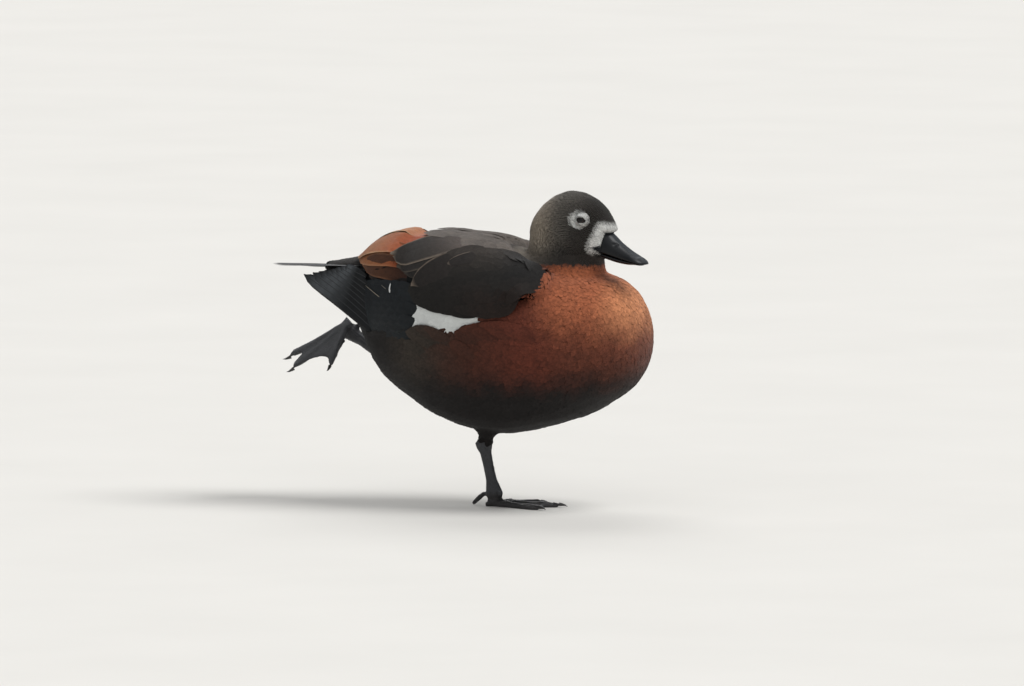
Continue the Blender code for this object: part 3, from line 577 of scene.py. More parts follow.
def plumage(points):
    """The colour of the coat at each place, with painted light and shade on nape, breast and belly."""
    x, y, z = points.T
    ahead, _, high = in_head(points).T
    swell = ripple(points, 22.0, 1)
    grain = ripple(points, 6.0, 2)

    flank = mixed(COLOURS["flank_mid"], COLOURS["flank_front"], ease(x, -10.0, 55.0))
    flank = mixed(COLOURS["flank_rear"], flank, ease(x + 5.0 * swell, -62.0, 5.0))
    # A painted highlight: the front of the breast is painted paler than its chestnut.
    front = mixed(COLOURS["chestnut"], COLOURS["chestnut_front_highlight"], ease(x, 95.0, 132.0))
    # Lower down, the breast darkens to russet and umber, partly its own colour and partly painted shade.
    front = mixed(COLOURS["russet"], front, ease(z + 4.0 * swell, 140.0, 182.0))
    front = mixed(COLOURS["umber"], front, ease(z + 4.0 * swell, 100.0, 152.0))
    colour = mixed(flank, front, ease(x + 0.25 * (z - 160.0), 40.0, 88.0))
    # The underside and the rear go to the belly's dark brown, partly its own colour and partly painted
    # shade.
    low = ease(-(z + 5.0 * swell), -132.0, -98.0)
    colour = mixed(colour, COLOURS["belly"], low * ease(x, -90.0, -60.0) + (1.0 - ease(x, -90.0, -60.0)))
    colour = mixed(colour, COLOURS["vent"], ease(-x, 92.0, 112.0) * ease(-z, -205.0, -188.0))

    over = ease(z, 203.0, 216.0) * ease(-x, -46.0, -34.0)
    colour = mixed(colour, COLOURS["mantle"], over)
    colour = mixed(colour, COLOURS["rump"], over * ease(-x, 70.0, 100.0))

    above = z - shield_edge(x) - 4.0 * ease(x, 16.0, 34.0)
    shield = ease(above, -0.8, 1.2) * ease(x, -74.0, -68.0) * ease(-x, -58.0, -52.0)
    shield = shield * ease(np.abs(y), 24.0, 32.0)
    colour = mixed(colour, COLOURS["scapular"], shield)
    wing = ease(z, 150.0, 154.0) * ease(-x, 54.0, 58.0) * ease(np.abs(y), 20.0, 28.0)
    wing = wing * ease(-z, -212.0, -206.0)
    colour = mixed(colour, COLOURS["wing"], wing)

    collar = ease(z + 0.7 * grain, 208.6, 211.0) * ease(x, 14.0, 26.0)
    head = mixed(COLOURS["cheek"], COLOURS["crown"], ease(high, 4.0, 20.0))
    head = mixed(head, COLOURS["ear"], ease(-ahead, -9.0, 3.0) * ease(high, -26.0, -8.0))
    head = mixed(head, COLOURS["throat"], ease(ahead, 6.0, 26.0))
    head = mixed(head, COLOURS["throat"], ease(-high, 12.0, 30.0) * ease(ahead, -22.0, 4.0))
    # The back of the head and neck is painted pale: a painted rim light along the nape.
    head = mixed(head, COLOURS["nape_rim_light"], ease(-ahead, 2.0, 30.0) * ease(high, -38.0, -8.0))
    corner = 1.5 + 0.5 * (ahead - 25.0) - np.abs(high + 19.2 + 0.28 * (ahead - 27.4))
    gape = ease(ahead, 24.6, 26.0) * ease(corner, -0.4, 0.8)
    bill_seat = ease(ahead, 33.2, 34.0) * ease(-high, 4.4, 5.2)
    colour = mixed(colour, head, collar)
    colour = mixed(colour, COLOURS["white"], pale_face(points) * collar)
    return mixed(colour, COLOURS["dark_skin"], np.clip(gape + bill_seat, 0.0, 1.0) * collar)


def bare_colour(points):
    """The colour of the scaly legs, darker on the webs."""
    webward = ease(-points[:, 2], -14.0, -8.0)
    return mixed(COLOURS["leg"], COLOURS["web"], webward)


# Lids: a low, fleshy mound from an almond opening on the eyeball out to the skin of the face. The inner edge
# is tucked under the surface of the ball and the outer one under the skin.
LID_OPENING = (4.0, 2.7)
LID_PINCH = 0.22
LID_THICKNESS = 0.38
LID_SWELL = 0.75
LID_REACH = 1.75
LID_TUCK = 0.25
LID_CLEARANCE = 0.35
LID_RINGS, LID_SIDES = 9, 44
CLEAR_OF_FACE = 12.0
skin_tree = BVHTree.FromPolygons(skin_points.tolist(), skin_faces.tolist())
lid_points, lid_faces = {}, {}
for side in HANDS:
    out, ahead, upward = eye_axes(side)
    centre = eye_centre[side]
    points = []
    for ring in range(LID_RINGS + 1):
        share = ring / LID_RINGS
        for step in range(LID_SIDES):
            angle = math.tau * step / LID_SIDES
            sideways, upright = abs(math.cos(angle)) ** 1.5, 0.35 + 0.65 * abs(math.sin(angle))
            pinch = 1.0 - LID_PINCH * (1.0 - sideways) * upright
            reach_x = LID_OPENING[0] * (1.0 + (LID_REACH - 1.0) * share)
            reach_y = LID_OPENING[1] * pinch ** (1.0 - share) * (1.12 + (LID_REACH * 1.18 - 1.12) * share)
            across = centre + ahead * reach_x * math.cos(angle) + upward * reach_y * math.sin(angle)
            flat = math.hypot(reach_x * math.cos(angle), reach_y * math.sin(angle))
            ball = math.sqrt(max(EYE_RADIUS**2 - flat**2, 0.0))
            ball += CORNEA_RISE * max(0.0, 1.0 - (flat / CORNEA_REACH) ** 2)
            hit = skin_tree.ray_cast(Vector(across + out * CLEAR_OF_FACE), Vector(-out))[0]
            base = float((np.array(hit) - across) @ out) if hit else 2.4
            fade = float(ease(share, 0.0, 1.0))
            swell = LID_SWELL * math.sin(math.pi * share) ** 0.8
            rise = max(ball, base) + LID_THICKNESS * (1.0 - share) + swell
            level = rise * (1.0 - fade) + (base - LID_TUCK) * fade
            if flat < EYE_RADIUS:
                level = max(level, ball + LID_CLEARANCE)
            if ring == 0:
                level = ball - LID_TUCK
            points.append(across + out * level)
    lid_points[side], lid_faces[side] = np.array(points), ring_quads(LID_RINGS, LID_SIDES)
    if (corner_normals(lid_points[side], lid_faces[side]) @ out).mean() < 0:
        lid_faces[side] = lid_faces[side][:, ::-1]

# The unwrap of the skin, for baking. The body, the head with the neck, and each leg are opened out round an
# axis of their own and lie side by side in a unit square. Each chart has the ends of its axis, its radius,
# and its corner and its room in the square.
CHARTS = (
    ((-110.0, 0.0, 192.0), (80.0, 0.0, 150.0), 52.0, (0.02, 0.02), (0.50, 0.56)),
    ((64.0, 0.0, 196.0), (72.0, -3.0, 240.0), 26.0, (0.02, 0.62), (0.40, 0.36)),
    ((-2.0, -22.0, 90.0), (-6.0, -14.0, 20.0), 10.0, (0.56, 0.02), (0.42, 0.28)),
    ((-70.0, 38.0, 128.0), (-140.0, 48.0, 138.0), 10.0, (0.56, 0.34), (0.42, 0.28)),
)


def chart_of(points, legs):
    """Which of the four charts each place belongs to."""
    x, _, z = points.T
    chart = np.where((z > 206.0) & (x > 18.0), 1, 0)
    return np.where(legs, np.where(x > -60.0, 2, 3), chart)


def unwrapped(points, charts):
    """The place of each point in the unwrap, and the width of one full turn there."""
    flat = np.zeros((len(points), 2))
    turn = np.ones(len(points))
    for index, (start, end, radius, corner, room) in enumerate(CHARTS):
        chosen = charts == index
        start, end = np.array(start), np.array(end)
        length = np.linalg.norm(end - start)
        axis = (end - start) / length
        aside = unit(np.cross(axis, (0.0, 0.31, 0.95)))
        third = np.cross(axis, aside)
        offset = points[chosen] - start
        along = offset @ axis
        beyond = np.where(along < 0.0, along, np.maximum(along - length, 0.0))
        away = np.hypot(offset @ aside, offset @ third)
        polar = np.arctan2(beyond, np.maximum(away, 1e-6)) * radius
        total = length + math.pi * radius
        shift = (np.clip(along, 0.0, length) + polar + math.pi * radius / 2) / total
        round_axis = np.arctan2(offset @ third, offset @ aside) / math.tau + 0.5
        flat[chosen, 0] = corner[0] + room[0] * shift
        flat[chosen, 1] = corner[1] + room[1] * round_axis
        turn[chosen] = room[1]
    return flat, turn


def bake_map(mesh, corners):
    """Gives each face corner its place in the piece's unwrap."""
    layer = mesh.uv_layers.new(name="OFBake")
    layer.uv.foreach_set("vector", corners.astype(np.float32).ravel())


def paint(mesh, colours):
    """The colour of the coat at each corner of the mesh."""
    layer = mesh.attributes.new("tint", "FLOAT_COLOR", "POINT")
    layer.data.foreach_set("color", np.c_[colours, np.ones(len(colours))].astype(np.float32).ravel())


def tinted(tree, shader, factor):
    """Gives a surface its own painted colour, made lighter and darker by this factor."""
    tint = add(tree, "ShaderNodeAttribute", {"attribute_name": "tint"})
    scaled = {"Vector": tint.outputs["Color"], "Scale": factor}
    final = add(tree, "ShaderNodeVectorMath", {"operation": "SCALE"}, scaled)
    tree.links.new(final.outputs["Vector"], shader.inputs["Base Color"])
    return final.outputs["Vector"]


def skin_sheet(name, points, faces, colours, surfaces, which, legs):
    """A sheet of skin with its colours and its place in the unwrap."""
    made = mesh_from(name, points, faces, surfaces, which)
    paint(made.data, colours)
    charts = chart_of(points, legs)
    face_chart = charts[faces[:, 0]]
    spread = np.zeros((faces.shape[0], faces.shape[1], 2))
    for corner in range(faces.shape[1]):
        flat, turn = unwrapped(points[faces[:, corner]], face_chart)
        if corner:
            back_round = np.round((flat[:, 1] - spread[:, 0, 1]) / turn)
            flat[:, 1] -= back_round * turn
        spread[:, corner] = flat
    bake_map(made.data, spread.reshape(-1, 2))
    return made


# Feathered skin: soft, matt and of the coat's own colour, with the fine grain of the down over it.
downy_skin, tree, shader = material("downy_skin", {"Roughness": 0.9, "IOR": 1.45, "Specular IOR Level": 0.2})
where = add(tree, "ShaderNodeTexCoord")
down = add(tree, "ShaderNodeTexNoise", {"Scale": 900.0, "Detail": 5.0}, {"Vector": where.outputs["Object"]})
shade = add(tree, "ShaderNodeMapRange", {"To Min": 0.55, "To Max": 1.0}, {"Value": down.outputs["Fac"]})
tinted(tree, shader, shade.outputs["Result"])
bump = add(tree, "ShaderNodeBump", {"Strength": 0.5, "Distance": 0.0004}, {"Height": down.outputs["Fac"]})
tree.links.new(bump.outputs["Normal"], shader.inputs["Normal"])

# Leg skin: leathery, covered in small many-sided scales about 1.3 mm across, with a low gloss.
SCALE_SIZE = 1.3
scaly_skin, tree, shader = material("scaly_leg_skin", {"Roughness": 0.5, "IOR": 1.48})
where = add(tree, "ShaderNodeTexCoord")
scales = add(
    tree,
    "ShaderNodeTexVoronoi",
    {"feature": "DISTANCE_TO_EDGE", "Scale": 1.0 / (SCALE_SIZE * MM)},
    {"Vector": where.outputs["Object"]},
)
groove = add(tree, "ShaderNodeMapRange", {"From Max": 0.12}, {"Value": scales.outputs["Distance"]})
shade = add(tree, "ShaderNodeMapRange", {"To Min": 0.45, "To Max": 1.1}, {"Value": groove.outputs["Result"]})
cloud = add(tree, "ShaderNodeTexNoise", {"Scale": 120.0, "Detail": 4.0}, {"Vector": where.outputs["Object"]})
patchy = add(tree, "ShaderNodeMapRange", {"To Min": 0.6, "To Max": 1.4}, {"Value": cloud.outputs["Fac"]})
both = add(
    tree,
    "ShaderNodeMath",
    {"operation": "MULTIPLY"},
    {0: shade.outputs["Result"], 1: patchy.outputs["Result"]},
)
tinted(tree, shader, both.outputs["Value"])
deep = {"Strength": 0.7, "Distance": 0.0003}
bump = add(tree, "ShaderNodeBump", deep, {"Height": groove.outputs["Result"]})
tree.links.new(bump.outputs["Normal"], shader.inputs["Normal"])

# The down between the feathers is a little darker than they are.
DOWN_SHARE = 0.8
is_bare = bareness > 0.5
skin_colours = np.where(is_bare[:, None], bare_colour(skin_points), plumage(skin_points) * DOWN_SHARE)
skin = skin_sheet(
    "skin",
    skin_points,
    skin_faces,
    skin_colours,
    (downy_skin, scaly_skin),
    is_bare[skin_faces].all(axis=1),
    is_bare | (skin_zone == ZONE_NAMES.index("thigh")),
)
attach(skin, "root")
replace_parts(skin, *[node for nodes in ZONES.values() for node in nodes])
for side, points in lid_points.items():
    no_legs = np.zeros(len(points), bool)
    inner_rim = (np.arange(len(points)) < LID_SIDES)[:, None]
    lid_colours = np.where(inner_rim, hue("#2a2826"), plumage(points))
    lid = skin_sheet("eyelids_" + side, points, lid_faces[side], lid_colours, (downy_skin,), None, no_legs)
    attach(lid, "root")


# ---------------------------------------------------------------------------------------------------------
# The small feathers of the coat. Each is a thin, cupped vane with a rounded tip, rooted in the skin and
# lying back over the roots of the next ones. They are tiny on the face and grow longer towards the flanks.

RANDOM = np.random.default_rng(20)
lids = [(lid_points[side], lid_faces[side]) for side in HANDS]
ground_points, ground_faces = put_together([(skin_points, skin_faces)] + lids)
ground_normals = corner_normals(ground_points, ground_faces)
ground_face_normals = unit(ground_normals[ground_faces].sum(axis=1))
lid_count = len(ground_points) - len(skin_points)
ground_zone = np.concatenate([skin_zone, np.zeros(lid_count, int)])
ground_bare = np.concatenate([is_bare, np.zeros(lid_count, bool)])
ground = BVHTree.FromPolygons(ground_points.tolist(), ground_faces.tolist())


def lie(points):
    """The way feathers point at each place: back from the bill, down the neck, then back along the body."""
    x, _, z = points.T
    held = in_head(points) - BILL_ROOT
    back = unit(held) @ HEAD_AXES + DOWN * ease(-held[:, 0], 22.0, 62.0)[:, None] * 1.1
    out = points - NECK_AXIS
    out[:, 2] = 0.0
    spread = unit(out) * 0.75 + DOWN
    spread[:, 0] -= 0.15
    frontward = ease(x, 62.0, 118.0)[:, None]
    body = np.array((-1.0, 0.0, -0.33)) * (1.0 - frontward) + np.array((-0.45, 0.0, -1.0)) * frontward
    legward = ease(-z, -98.0, -80.0)[:, None]
    body = body * (1.0 - legward) + np.array((-0.35, 0.0, -1.0)) * legward
    rearward = ease(-x, 95.0, 125.0)[:, None]
    body = body * (1.0 - rearward) + np.array((-1.0, 0.0, 0.12)) * rearward
    from_neck = np.linalg.norm(points - NECK_AXIS, axis=1)
    body = body + (spread - body) * ease(-from_neck, -98.0, -56.0)[:, None]
    return unit(body + (back - body) * (ease(z, 205.0, 226.0) * ease(x, 10.0, 26.0))[:, None])


def settled(points):
    """The nearest places on the skin, the outward directions there and the faces they are on."""
    found = [ground.find_nearest(point) for point in points.tolist()]
    which = np.array([hit[2] for hit in found])
    return np.array([hit[0] for hit in found]), ground_face_normals[which], which


# How many roots are strewn over a square of one spacing, before those too near to another are taken out.
STREWN = 7.0


def sow(spacing_at, chosen):
    """Roots strewn over the chosen faces of the skin, no two nearer than the spacing at their place."""
    corners = ground_points[ground_faces[chosen]]
    first = np.linalg.norm(np.cross(corners[:, 1] - corners[:, 0], corners[:, 2] - corners[:, 0]), axis=1)
    second = np.linalg.norm(np.cross(corners[:, 2] - corners[:, 0], corners[:, 3] - corners[:, 0]), axis=1)
    gap = spacing_at(corners.mean(axis=1))
    wanted = (first + second) / 2 / gap**2 * STREWN
    copies = np.floor(wanted + RANDOM.random(len(wanted))).astype(int)
    index = np.repeat(np.arange(len(copies)), copies)
    across, along = RANDOM.random((2, len(index)))[..., None]
    corners = corners[index]
    places = (corners[:, 0] * (1 - across) + corners[:, 1] * across) * (1 - along) + (
        corners[:, 3] * (1 - across) + corners[:, 2] * across
    ) * along
    order = RANDOM.permutation(len(places))
    places, gaps = places[order], gap[index][order]
    tree = KDTree(len(places))
    for number, place in enumerate(places.tolist()):
        tree.insert(place, number)
    tree.balance()
    alive = np.ones(len(places), bool)
    for number, (place, reach) in enumerate(zip(places.tolist(), gaps.tolist())):
        if alive[number]:
            for _, other, _ in tree.find_range(place, reach):
                if other > number:
                    alive[other] = False
    return places[alive]


MOST_DIP = 0.25


def walk(roots, ways, lengths, rows, follow=0.5, stiff=1.0):
    """The middle line of each feather as it lies along the skin, and the outward directions along it. A
    stiff one dips into a hollow by a share of each step at most."""
    spots, normals, _ = settled(roots)
    ways = unit(ways - normals * (ways * normals).sum(axis=1, keepdims=True))
    line, outward = [spots], [normals]
    for near, far in zip(rows[:-1], rows[1:]):
        step = (lengths * (far - near))[:, None]
        ahead = spots + ways * step
        spots, found, _ = settled(ahead)
        drop = ((spots - ahead) * normals).sum(axis=1, keepdims=True)
        limit = -MOST_DIP * stiff * step
        spots = spots + normals * np.maximum(limit - drop, 0.0) * (1.0 if stiff else 0.0)
        normals = unit(normals + found)
        turned = ways * (1.0 - follow) + lie(spots) * follow
        ways = unit(turned - normals * (turned * normals).sum(axis=1, keepdims=True))
        line.append(spots)
        outward.append(normals)
    return np.stack(line, axis=1), np.stack(outward, axis=1)


# Each vane is spread over a small patch of the unwrap, round its root's own place in it.
MOST_TRIANGLES = 190000
BAKE_PATCH = 0.003


def mesh_of_vanes(name, spots, colours, vane, root_flat, surface, outward=None, softness=0.0):
    """Joins closed, thin vanes of rows by columns of points into pieces of fewer triangles than the most."""
    count, rows, across = spots.shape[:3]
    colours = np.clip(colours, 0.0, 1.0)
    index = np.arange(rows * across).reshape(rows, across)
    a, b, c, d = index[:-1, :-1], index[1:, :-1], index[1:, 1:], index[:-1, 1:]
    top = np.concatenate([np.stack(t, axis=-1).reshape(-1, 3) for t in ((a, b, c), (a, c, d))])
    left, right = index[:, 0], index[:, -1]
    halves = ((left[:-1], right[:-1], right[1:]), (left[:-1], right[1:], left[1:]))
    under = np.concatenate([np.stack(half, axis=-1) for half in halves])
    root_cap = [(index[0, 0], index[0, m], index[0, m + 1]) for m in range(1, across - 1)]
    tip_cap = [(index[-1, 0], index[-1, m + 1], index[-1, m]) for m in range(1, across - 1)]
    triangles = np.concatenate([top, under, np.array(root_cap + tip_cap)])
    crisp = np.arange(len(triangles)) >= len(top)
    patch = np.meshgrid(np.linspace(-0.5, 0.5, across), np.linspace(-0.5, 0.5, rows))
    patch = np.stack(patch, axis=-1) * BAKE_PATCH
    groups = math.ceil(count / (MOST_TRIANGLES // len(triangles)))
    for group in range(groups):
        part = slice(group * count // groups, (group + 1) * count // groups)
        number = len(spots[part])
        shift = (np.arange(number) * rows * across)[:, None, None]
        faces = (triangles[None] + shift).reshape(-1, 3)
        label = name if groups == 1 else f"{name}_{group + 1}"
        piece = mesh_from(label, spots[part].reshape(-1, 3), faces, (surface,))
        if not softness:
            piece.data.attributes.new("sharp_face", "BOOLEAN", "FACE")
            piece.data.attributes["sharp_face"].data.foreach_set("value", np.tile(crisp, number))
        paint(piece.data, colours[part].reshape(-1, 3))
        if softness:
            ground_way = np.repeat(outward[part].reshape(-1, 3), across, axis=0)
            own = corner_normals(spots[part].reshape(-1, 3), (top[None] + shift).reshape(-1, 3))
            blend = unit(own * (1 - softness) + ground_way * softness)
            piece.data.normals_split_custom_set_from_vertices(blend)
        layer = piece.data.attributes.new("vane", "FLOAT_VECTOR", "POINT")
        flat = vane[part].reshape(-1, 2)
        layer.data.foreach_set("vector", np.c_[flat, np.zeros(len(flat))].astype(np.float32).ravel())
        local = root_flat[part][:, None, None, :] + patch
        bake_map(piece.data, local.reshape(-1, 2)[faces.ravel()])
        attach(piece, "root")


def shaped(line, outward, widths, rise, rows, halves, across, camber, tip, ragged):
    """The points of each vane round its middle line, and their places on the vane in millimetres. The tip
    is how far the middle of the last row stands out beyond its ends, in lengths of the feather."""
    count = len(line)
    ahead = unit(np.gradient(line, axis=1))
    outward = unit(outward - ahead * (outward * ahead).sum(axis=-1, keepdims=True))
    aside = np.cross(outward, ahead)
    share = np.linspace(-1.0, 1.0, across)
    half = widths[:, None] * 0.5 * np.array(halves)[None, :]
    edge = half[:, :, None] * share
    spots = line[:, :, None, :] + aside[:, :, None, :] * edge[..., None]
    sink = camber * half[:, :, None] * share**2
    spots = spots + outward[:, :, None, :] * (rise[:, :, None] - sink)[..., None]
    lengths = np.linalg.norm(np.diff(line, axis=1), axis=-1).sum(axis=1)
    push = np.zeros((count, len(rows), across))
    push[:, -1] = tip * lengths[:, None] * (1.0 - share**2)
    push[:, -2] = 0.3 * push[:, -1]
    push[:, -1] += RANDOM.normal(0.0, ragged, (count, across)) * lengths[:, None]
    spots = spots + ahead[:, :, None, :] * push[..., None]
    along = np.array(rows)[None, :, None] * lengths[:, None, None] + push
    return spots, np.stack([edge, along], axis=-1)


# Feather vanes: keratin barbs lying side by side, about 0.4 mm apart and drawn 0.8 mm apart so that they
# show. They slant back from the shaft and stray a little. Their surface is matt, with a faint sheen at a
# glancing angle.
BARB_GAP = 0.8
BARB_SLANT = 1.1
BARB_STRAY = 1.6


def feather_material(name, roughness, barb_depth, mottle, mottle_scale, sheen=0.06, shaft=None):
    """A vane with barbs, a mottle and, if given, a shaft of this colour and half-width."""
    made, tree, shader = material(
        name, {"Roughness": roughness, "IOR": 1.54, "Specular IOR Level": 0.16, "Sheen Weight": sheen}
    )
    shader.inputs["Sheen Roughness"].default_value = 0.5
    vane = add(tree, "ShaderNodeAttribute", {"attribute_name": "vane"})
    place = add(tree, "ShaderNodeSeparateXYZ", {}, {"Vector": vane.outputs["Vector"]})
    across = add(tree, "ShaderNodeMath", {"operation": "ABSOLUTE"}, {0: place.outputs["X"]})
    slant_by = {"operation": "MULTIPLY", 1: BARB_SLANT}
    slant = add(tree, "ShaderNodeMath", slant_by, {0: across.outputs["Value"]})
    run = add(
        tree, "ShaderNodeMath", {"operation": "SUBTRACT"}, {0: place.outputs["Y"], 1: slant.outputs["Value"]}
    )
    where = add(tree, "ShaderNodeTexCoord")
    uneven = {"Scale": 420.0, "Detail": 3.0}
    stray = add(tree, "ShaderNodeTexNoise", uneven, {"Vector": where.outputs["Object"]})
    loose = add(tree, "ShaderNodeMath", {"operation": "MULTIPLY", 1: BARB_STRAY}, {0: stray.outputs["Fac"]})
    bent = add(
        tree, "ShaderNodeMath", {"operation": "ADD"}, {0: run.outputs["Value"], 1: loose.outputs["Value"]}
    )
    per_barb = math.tau / BARB_GAP
    phase = add(tree, "ShaderNodeMath", {"operation": "MULTIPLY", 1: per_barb}, {0: bent.outputs["Value"]})
    barbs = add(tree, "ShaderNodeMath", {"operation": "SINE"}, {0: phase.outputs["Value"]})
    lined = add(
        tree,
        "ShaderNodeMapRange",
        {"From Min": -1.0, "To Min": 1.0 - barb_depth, "To Max": 1.0 + 0.5 * barb_depth},
        {"Value": barbs.outputs["Value"]},
    )
    freckle = add(
        tree,
        "ShaderNodeTexNoise",
        {"Scale": mottle_scale, "Detail": 6.0, "Roughness": 0.65},
        {"Vector": where.outputs["Object"]},
    )
    dusky = add(
        tree,
        "ShaderNodeMapRange",
        {"From Min": 0.3, "From Max": 0.7, "To Min": 1.0 - mottle, "To Max": 1.0 + mottle},
        {"Value": freckle.outputs["Fac"]},
    )
    both = add(
        tree,
        "ShaderNodeMath",
        {"operation": "MULTIPLY"},
        {0: lined.outputs["Result"], 1: dusky.outputs["Result"]},
    )
    own_colour = tinted(tree, shader, both.outputs["Value"])
    if shaft is not None:
        band = add(
            tree,
            "ShaderNodeMapRange",
            {"From Min": shaft[1] * 0.6, "From Max": shaft[1], "To Min": 1.0, "To Max": 0.0},
            {"Value": across.outputs["Value"]},
        )
        blend = add(tree, "ShaderNodeMix", {"data_type": "RGBA"}, {"Factor": band.outputs["Result"]})
        blend.inputs[7].default_value = (*hue(shaft[0]), 1.0)
        tree.links.new(own_colour, blend.inputs[6])
        tree.links.new(blend.outputs[2], shader.inputs["Base Color"])
    shallow = {"Strength": 0.35, "Distance": 0.0002}
    bump = add(tree, "ShaderNodeBump", shallow, {"Height": barbs.outputs["Value"]})
    tree.links.new(bump.outputs["Normal"], shader.inputs["Normal"])
    return made


velvet = feather_material("short_head_feathers", 0.85, 0.10, 0.26, 600.0, 0.12)
soft_feathers = feather_material("soft_contour_feathers", 0.8, 0.16, 0.30, 420.0)


# The roots stand nearest by the bill and on the back, further apart on the crown and below, and closer
# again by a share round the eyes.
BILL_GAP, CROWN_GAP_MORE = 0.82, 0.42
BACK_GAP, BELLY_GAP_MORE = 1.7, 0.8
EYE_GAP_LESS = 0.22


def spacing_at(points):
    """How far apart the roots stand, in millimetres."""
    from_bill = np.linalg.norm(in_head(points) - BILL_ROOT, axis=1)
    head = BILL_GAP + CROWN_GAP_MORE * ease(from_bill, 10.0, 60.0)
    body = BACK_GAP + BELLY_GAP_MORE * ease(-points[:, 2], -196.0, -140.0)
    share = ease(-points[:, 2], -226.0, -196.0)
    share = np.maximum(share, ease(-points[:, 0], -24.0, -8.0))
    spacing = head + (body - head) * share
    near_eye = np.zeros(len(points))
    for centre in eye_centre.values():
        near_eye = np.maximum(near_eye, ease(-np.linalg.norm(points - centre, axis=1), -11.0, -8.0))
    return spacing * (1.0 - EYE_GAP_LESS * near_eye)


def round_eye(points, side, half_length, half_height):
    """How far out from an eye's middle each place is, in these half-axes, and how far in front of it."""
    out, ahead, upward = eye_axes(side)
    offset = points - eye_centre[side]
    return np.hypot((offset @ ahead) / half_length, (offset @ upward) / half_height), offset @ out


# Feathers grow on the faces that no large feather, lid or horn lies over, and outside the eyes.
LID_SHADOW = (6.3, 5.0)
LID_SHADOW_REACH = 12.0
ROOT_MARGIN, TIP_MARGIN = (0.35, 0.45), 0.2
face_middle = ground_points[ground_faces].mean(axis=1)
under_wing = [ZONE_NAMES.index(zone) for zone in ("wing", "scapular", "tertial")]
covered = np.isin(ground_zone[ground_faces], under_wing).all(axis=1)
covered &= face_middle[:, 0] < 51.0
covered &= (face_middle[:, 0] < 16.0) | (face_middle[:, 2] > shield_edge(face_middle[:, 0]) + 4.5)
bare_face = ground_bare[ground_faces].any(axis=1)
in_eye, under_lid = np.zeros((2, len(face_middle)), bool)
for side in HANDS:
    half_length, half_height = LID_OPENING[0] + ROOT_MARGIN[0], LID_OPENING[1] + ROOT_MARGIN[1]
    opening, in_front = round_eye(face_middle, side, half_length, half_height)
    in_eye |= (opening < 1.0) & (in_front > 0.0)
    shadow, _ = round_eye(face_middle, side, *LID_SHADOW)
    from_eye = np.linalg.norm(face_middle - eye_centre[side], axis=1)
    under_lid |= (shadow < 1.0) & (from_eye < LID_SHADOW_REACH)
under_lid[len(skin_faces) :] = False
held_face = in_head(face_middle)
from_bill = np.linalg.norm(held_face - BILL_ROOT, axis=1)
under_bill = (held_face[:, 0] > 33.4) & (held_face[:, 2] < -4.6) & (from_bill < 15.0)
under_bill |= (held_face[:, 0] > 27.0) & (np.abs(held_face[:, 2] + 24.0) < 1.2) & (from_bill < 18.0)
growing = ~(covered | bare_face | in_eye | under_lid | under_bill)
roots = sow(spacing_at, np.flatnonzero(growing))
root_gap = spacing_at(roots)

COAT_SOFTNESS = 0.72
COAT_CAMBER = 0.10
COAT_TIP = 0.12
COAT_RAGGED = 0.008
COAT_YAW = 0.17
LENGTH_SPREAD = (0.85, 1.18)
WIDTH_SPREAD = (0.88, 1.12)
SHADE_SPREAD = 0.09
ROOT_SHADE = 0.9


def coat(name, chosen, rows, halves, across, reach, breadth, surface):
    """Lays the chosen roots' feathers, except those whose tips would cross an eye: reach and breadth are in
    spacings."""
    here, gap = roots[chosen], root_gap[chosen]
    count = len(here)
    _, normals, _ = settled(here)
    ways = lie(here)
    yaw = RANDOM.normal(0.0, COAT_YAW, (count, 1))
    ways = unit(ways + np.cross(normals, ways) * yaw)
    lengths = gap * reach * RANDOM.uniform(*LENGTH_SPREAD, count)
    widths = gap * breadth * RANDOM.uniform(*WIDTH_SPREAD, count)
    line, outward = walk(here, ways, lengths, rows)
    depth = coat_depth(here, np.zeros(count)) + RANDOM.normal(0.0, 0.06, count) * gap**0.5
    clear = np.ones(count, bool)
    for side in HANDS:
        for place in (line[:, -1], line[:, -2]):
            half_length, half_height = LID_OPENING[0] + TIP_MARGIN, LID_OPENING[1] + TIP_MARGIN
            opening, in_front = round_eye(place, side, half_length, half_height)
            clear &= (opening >= 1.0) | (in_front <= 0.0)
    here, line, outward, widths, depth = (kept[clear] for kept in (here, line, outward, widths, depth))
    count = len(here)
    lift = 1.0 - (1.0 - np.array(rows)) ** 2.2
    rise = 0.10 + depth[:, None] * lift[None, :]
    shape, vane = shaped(
        line, outward, widths, rise, rows, halves, across, COAT_CAMBER, COAT_TIP, COAT_RAGGED
    )
    tips = plumage(line[:, -1])
    base = plumage(here)
    shade = RANDOM.normal(1.0, SHADE_SPREAD, (count, 1, 1, 1))
    along = ease(np.array(rows), 0.2, 1.0)[None, :, None, None]
    tone = base[:, None, None, :] * (1 - along) * ROOT_SHADE + tips[:, None, None, :] * along
    rim = ease(np.abs(np.linspace(-1, 1, across)), 0.5, 1.0)[None, None, :, None]
    tone = tone * shade * (1.0 + 0.08 * along * (0.5 + 0.5 * rim))
    tone = np.broadcast_to(tone, (count, len(rows), across, 3))
    flat, _ = unwrapped(here, chart_of(here, here[:, 2] < 84.0))
    mesh_of_vanes(name, shape, tone, vane, flat, surface, outward, COAT_SOFTNESS)


